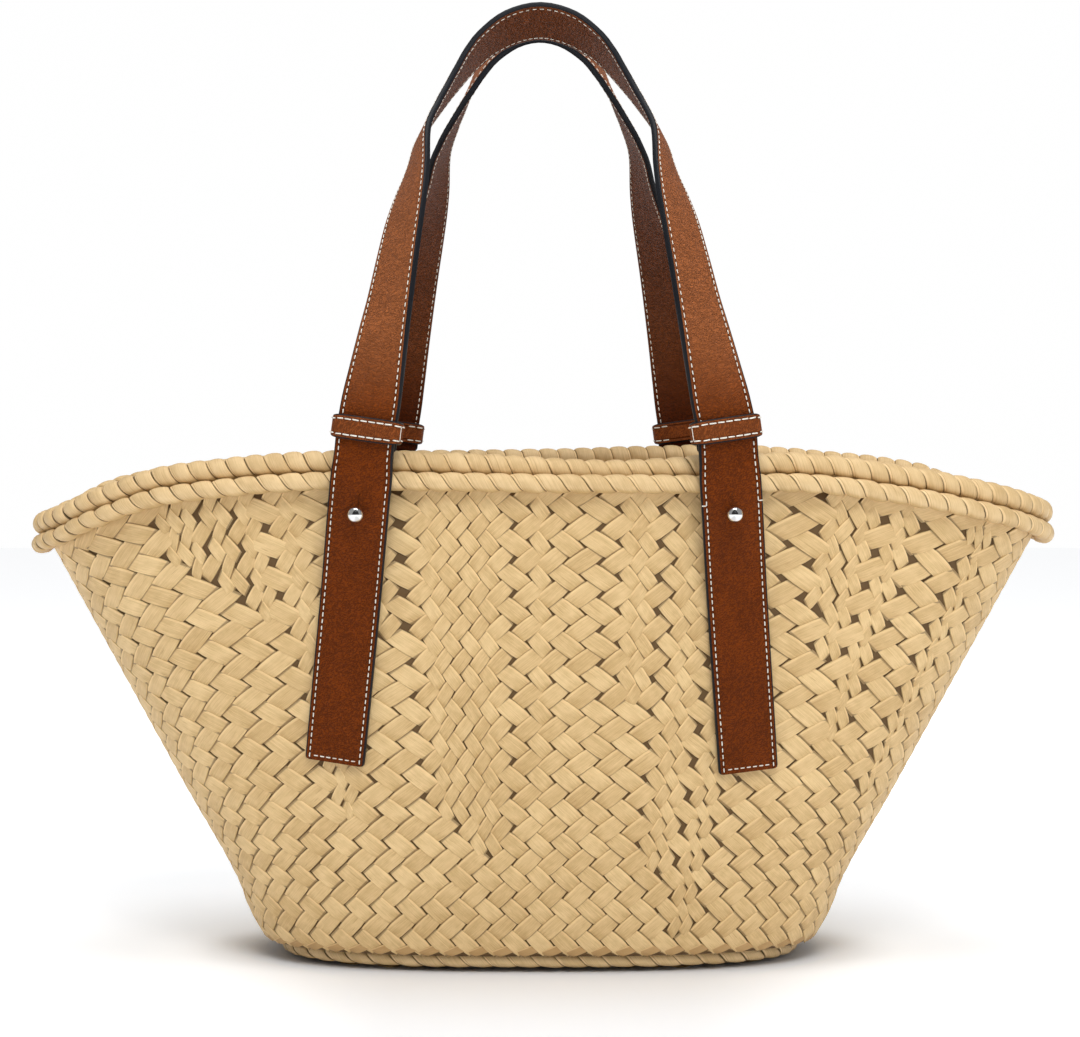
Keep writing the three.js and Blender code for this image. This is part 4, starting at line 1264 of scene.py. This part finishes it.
class BASKET_PG_leather(bpy.types.PropertyGroup):
    """Sizes and colours of the leather, its thread and the studs."""

    stitch_pitch: length_prop("Stitch pitch", "Distance between stitches on the straps", 3.2)
    stitch_length: length_prop("Stitch length", "Length of one stitch on the straps", 2.15)
    stitch_width: length_prop("Stitch width", "Width of the thread", 0.68)
    stitch_edge: length_prop("Stitch edge", "Distance from the strap's edge to its stitches", 2.2)
    keeper_pitch: length_prop("Keeper pitch", "Distance between stitches on the keepers", 4.1)
    keeper_length: length_prop("Keeper stitch", "Length of one stitch on the keepers", 3.5)
    # The grained colour is lighter than the smooth one: partly the arches' grained leather, partly painted
    # sheen where they tilt up to the light.
    high: colour_prop("Grained leather", "Colour of the grained leather of the arches", (0.325, 0.100, 0.030))
    low: colour_prop("Smooth leather", "Colour of the smooth leather of the tabs", (0.150, 0.0285, 0.001))
    edge: colour_prop("Edge paint", "Colour of the painted edges", (0.012, 0.013, 0.016))
    thread: colour_prop("Thread", "Colour of the thread", (0.87, 0.82, 0.72))
    steel: colour_prop("Steel", "Colour of the polished studs", (0.76, 0.76, 0.77))


class BASKET_PG_stage(bpy.types.PropertyGroup):
    """The studio."""

    distance: length_prop("Camera distance", "From the camera to the middle of the bag", 1450)
    height: length_prop("Camera height", "Height of the camera above the floor", 252)
    pitch: bpy.props.FloatProperty(
        name="Camera pitch", description="How far the camera looks down", subtype="ANGLE",
        default=math.radians(1.55))
    lens: bpy.props.FloatProperty(
        name="Lens", description="Focal length on a 36 mm wide sensor", unit="CAMERA", default=98.1)
    floor: colour_prop("Floor", "Colour of the floor", (0.90, 0.92, 0.95))
    sky: bpy.props.FloatProperty(name="Room light", description="Brightness of the white room", default=0.35)


def settings():
    return bpy.context.scene.basket_leaf, bpy.context.scene.basket_leather, bpy.context.scene.basket_stage


def finish_named(name, make):
    return bpy.data.materials.get(name) or make()


def straw():
    leaf = settings()[0]
    return finish_named("plaited_leaf", lambda: leaf_material(
        "plaited_leaf", tuple(leaf.light), tuple(leaf.dark), tuple(leaf.brown)))


def roll_leaf():
    leaf = settings()[0]
    return finish_named("wrapped_leaf", lambda: leaf_material(
        "wrapped_leaf", (0.84, 0.62, 0.335), (0.52, 0.34, 0.14), tuple(leaf.brown), 0.46, 0.8, True))


# Near-black leaf: painted shade, seen through the plait's gaps on the shell behind them.
def gap_shade_leaf():
    leaf = settings()[0]
    return finish_named("shaded_leaf", lambda: leaf_material(
        "shaded_leaf", (0.06, 0.03, 0.01), (0.03, 0.015, 0.006), tuple(leaf.brown), 0.7, 0.5))


def strap_leather():
    given = settings()[1]
    return finish_named("strap_leather", lambda: leather_material(
        "strap_leather", (0.255, 0.31), tuple(given.high), tuple(given.low), tuple(given.edge),
        STRAP_WIDTH / 2 - 0.6, STRAP_WIDTH / 2 - given.stitch_edge / MM))


def keeper_leather():
    given = settings()[1]
    middle = tuple(0.34 * a + 0.66 * b for a, b in zip(given.high, given.low))
    return finish_named("keeper_leather", lambda: leather_material(
        "keeper_leather", (0.9, 1.0), middle, middle, tuple(given.edge),
        KEEPER_BAND / 2 - 0.5, KEEPER_BAND / 2 - KEEPER_STITCH_EDGE))


def thread():
    return finish_named("waxed_thread", lambda: thread_material(tuple(settings()[1].thread)))


class BASKET_OT_stage(bpy.types.Operator):
    """Sets up the pale floor, the soft studio light and the camera"""

    bl_idname = "basket.stage"
    bl_label = "Stage"

    def execute(self, context):
        given = context.scene.basket_stage
        scene = context.scene
        scene.view_settings.view_transform = "Standard"
        scene.view_settings.look = "None"
        camera = bpy.data.cameras.new("camera")
        camera.lens, camera.sensor_width, camera.sensor_fit = given.lens, 36, "HORIZONTAL"
        camera.clip_start, camera.clip_end = 0.05, 50
        view = bpy.data.objects.new("camera", camera)
        view.location = (0, -given.distance, given.height)
        view.rotation_euler = (math.pi / 2 - given.pitch, 0, 0)
        scene.collection.objects.link(view)
        scene.camera = view
        world = bpy.data.worlds.new("white_room")
        scene.world = world
        world.use_nodes = True
        world.node_tree.nodes["Background"].inputs["Color"].default_value = (1.0, 1.0, 1.0, 1)
        world.node_tree.nodes["Background"].inputs["Strength"].default_value = given.sky
        for name, place, aim, size, power in (
            ("key", (0.15, -1.7, 1.9), (0, 0, 0.2), 1.0, 25.5),
            ("fill", (0.9, -1.9, 0.9), (0, 0, 0.2), 1.0, 5),
            ("top", (0.0, -0.1, 1.9), (0, 0, 0.2), 1.2, 16),
        ):
            lamp = bpy.data.lights.new(name, "AREA")
            lamp.size, lamp.energy = size, power
            light = bpy.data.objects.new(name, lamp)
            light.location = place
            light.rotation_euler = (Vector(aim) - Vector(place)).to_track_quat("-Z", "Y").to_euler()
            scene.collection.objects.link(light)
        dome = bpy.data.objects.new("white_dome", dome_mesh(5500, 24))
        dome.data.materials.append(dome_material())
        dome.visible_diffuse = dome.visible_glossy = False
        dome.visible_shadow = dome.visible_transmission = False
        scene.collection.objects.link(dome)
        floor = bpy.data.objects.new("floor", mesh_of(
            "floor", [(-6000, -6000, 0), (6000, -6000, 0), (6000, 6000, 0), (-6000, 6000, 0)], [(0, 1, 2, 3)]))
        floor.data.materials.append(floor_material("studio_floor", tuple(given.floor), 0.62))
        scene.collection.objects.link(floor)
        card = bpy.data.objects.new("dark_card", mesh_of(
            "dark_card", [(-1000, -1000, 225), (1000, -1000, 225), (250, -600, 1100),
                          (0, -380, 1500), (-250, -600, 1100)], [(0, 1, 2, 3, 4)]))
        card.data.materials.append(floor_material("dark_card", (0.02, 0.02, 0.022), 0.0))
        card.visible_camera = card.visible_diffuse = card.visible_shadow = card.visible_transmission = False
        scene.collection.objects.link(card)
        return {"FINISHED"}


class BASKET_OT_plait(bpy.types.Operator):
    """Plaits the wall, inside and out, and the bottom, over a thin dark shell of painted shade"""

    bl_idname = "basket.plait"
    bl_label = "Plait"

    def execute(self, context):
        leaf = context.scene.basket_leaf
        pitch, relief = leaf.tile_pitch / MM, leaf.tile_relief / MM
        tiles = [leaf_tile(True), leaf_tile(False)]

        def lower_roll(turns):
            return rim_places(turns)[0][..., 2]

        def wall_edge(turns):
            return rim_places(turns)[2]

        places = plait_places(leaf.rows, pitch, lower_roll, PLAIT_FOOT, 1, relief, 11)
        made = lay("outer_plait", [t.copy() for t in tiles], places, straw(), 0.035, 0.02, 5)
        put("outer_plait", made, "plaited_straw", "basket_body")
        places = plait_places(leaf.rows + 1, pitch, wall_edge, INNER_FOOT, -1, relief * 0.8, 23)
        made = lay("inner_plait", [t.copy() for t in tiles], places, straw(), 0.035, 0.02, 6)
        put("inner_plait", made, "plaited_straw", "basket_body")
        under = flat_places(0.95, -1, FLAT_RELIEF, pitch, FLAT_ROW, 12.0)
        over = flat_places(2.1, 1, FLAT_RELIEF, pitch, FLAT_ROW, 12.0)
        meshes = [lay("bottom_plait", [t.copy() for t in tiles], one, straw(), 0.03, 0.02, 8 + k)
                  for k, one in enumerate((under, over))]
        put("bottom_plait", joined("bottom_plait", meshes), "plaited_straw", "basket_body")
        # The near-black shell behind the plait is painted shade for its gaps.
        core = shell_mesh("plait_core", 1.2, 1.8)
        put("plait_core", core, "plaited_straw", "basket_body", finish=gap_shade_leaf())
        return {"FINISHED"}


class BASKET_OT_rolls(bpy.types.Operator):
    """Winds leaf round the two rim rolls and the base roll"""

    bl_idname = "basket.rolls"
    bl_label = "Rolls"

    def execute(self, context):
        leaf = context.scene.basket_leaf
        for name, middle, radius, pitch, around, cut, seed in (
            ("upper_rim_roll", lambda t: rim_places(t)[1], UPPER_RADIUS, leaf.upper_wrap, 18, -0.28, 31),
            ("lower_rim_roll", lambda t: rim_places(t)[0], LOWER_RADIUS, leaf.lower_wrap, 18, -0.5, 37),
            ("base_roll", base_roll_middle, BASE_RADIUS + BASE_SWELL, leaf.base_wrap, 16, -0.5, 41),
        ):
            places = roll_places(middle, pitch / MM)
            band = wrap_band(radius, around, cut)
            made = lay(name + "_wraps", [band], places, roll_leaf(), 0.03, 0.015, seed)
            put(name + "_wraps", made, "leaf_roll", name)
        return {"FINISHED"}


class BASKET_OT_straps(bpy.types.Operator):
    """Cuts the two strap handles with their slits, and sews their edges"""

    bl_idname = "basket.straps"
    bl_label = "Straps"

    def execute(self, context):
        given = context.scene.basket_leather
        for name, path in straps.items():
            blank = strap_mesh(name, path, 4.0)
            cutters = []
            for side in (-1, 1):
                place = path.upright(path.place_of(side, STUD_HEIGHT))
                end = SLIT_LENGTH + SLIT_PAST_NECK
                cutters.append(cutter("slit", place, [(NECK / 2 + STUD_ROOM, 0), (SLIT_HOLE, end)],
                                      (SLIT_WIDTH, 0.0, end)))
            leather = cut_through(blank, cutters)
            put(name + "_leather", leather, "brown_leather", name, finish=strap_leather())
            places = strap_stitches(path, given.stitch_edge / MM, given.stitch_pitch / MM,
                                    given.stitch_length / MM, given.stitch_width / MM,
                                    [(1, STUD_HEIGHT + BAR_ABOVE_STUD)] if path.face < 0 else [])
            made = lay(name + "_stitches", [stitch_shape()], places, thread(), 0.05, 0.05, 51)
            put(name + "_stitches", made, "brown_leather", name)
        return {"FINISHED"}


class BASKET_OT_keepers(bpy.types.Operator):
    """Folds the four keeper loops round the straps and their backings, and sews them"""

    bl_idname = "basket.keepers"
    bl_label = "Keepers"

    def execute(self, context):
        given = context.scene.basket_leather
        for name, leg in LEGS.items():
            put(name + "_loop", keeper_mesh(name + "_loop", leg), "brown_leather", name + "_keeper",
                finish=keeper_leather())
            put(name + "_layer", backing_mesh(name + "_layer", leg), "brown_leather", name + "_backing",
                finish=strap_leather())
            places = keeper_stitches(leg, given.keeper_pitch / MM, given.keeper_length / MM,
                                     given.stitch_width / MM * 1.25)
            made = lay(name + "_loop_stitches", [stitch_shape()], places, thread(), 0.06, 0.05, 61)
            put(name + "_loop_stitches", made, "brown_leather", name + "_keeper")
        return {"FINISHED"}


class BASKET_OT_studs(bpy.types.Operator):
    """Turns the four polished ball studs"""

    bl_idname = "basket.studs"
    bl_label = "Studs"

    def execute(self, context):
        steel = steel_material(tuple(context.scene.basket_leather.steel))
        for name, leg in LEGS.items():
            put(name + "_ball_stud", stud_mesh(name + "_ball_stud", leg), "polished_steel", name + "_stud",
                finish=steel)
        return {"FINISHED"}


OPERATORS = (BASKET_OT_stage, BASKET_OT_plait, BASKET_OT_rolls, BASKET_OT_straps, BASKET_OT_keepers,
             BASKET_OT_studs)


class BASKET_PT_bag(bpy.types.Panel):
    """Lists the bag's makers and their sizes"""

    bl_idname = "BASKET_PT_bag"
    bl_label = "Straw basket bag"
    bl_space_type = "VIEW_3D"
    bl_region_type = "UI"
    bl_category = "Basket"

    def draw(self, context):
        for operator in OPERATORS:
            self.layout.operator(operator.bl_idname)
        for group in (context.scene.basket_leaf, context.scene.basket_leather, context.scene.basket_stage):
            box = self.layout.box()
            for name in group.bl_rna.properties.keys():
                if name not in ("rna_type", "name"):
                    box.prop(group, name)


GROUPS = {"basket_leaf": BASKET_PG_leaf, "basket_leather": BASKET_PG_leather, "basket_stage": BASKET_PG_stage}


def register():
    for one in (*GROUPS.values(), *OPERATORS, BASKET_PT_bag):
        bpy.utils.register_class(one)
    for name, group in GROUPS.items():
        setattr(bpy.types.Scene, name, bpy.props.PointerProperty(type=group))


def unregister():
    for name in GROUPS:
        delattr(bpy.types.Scene, name)
    for one in reversed((*GROUPS.values(), *OPERATORS, BASKET_PT_bag)):
        bpy.utils.unregister_class(one)


def main():
    register()
    for operator in OPERATORS:
        family, name = operator.bl_idname.split(".")
        getattr(getattr(bpy.ops, family), name)()


if __name__ == "__main__":
    main()
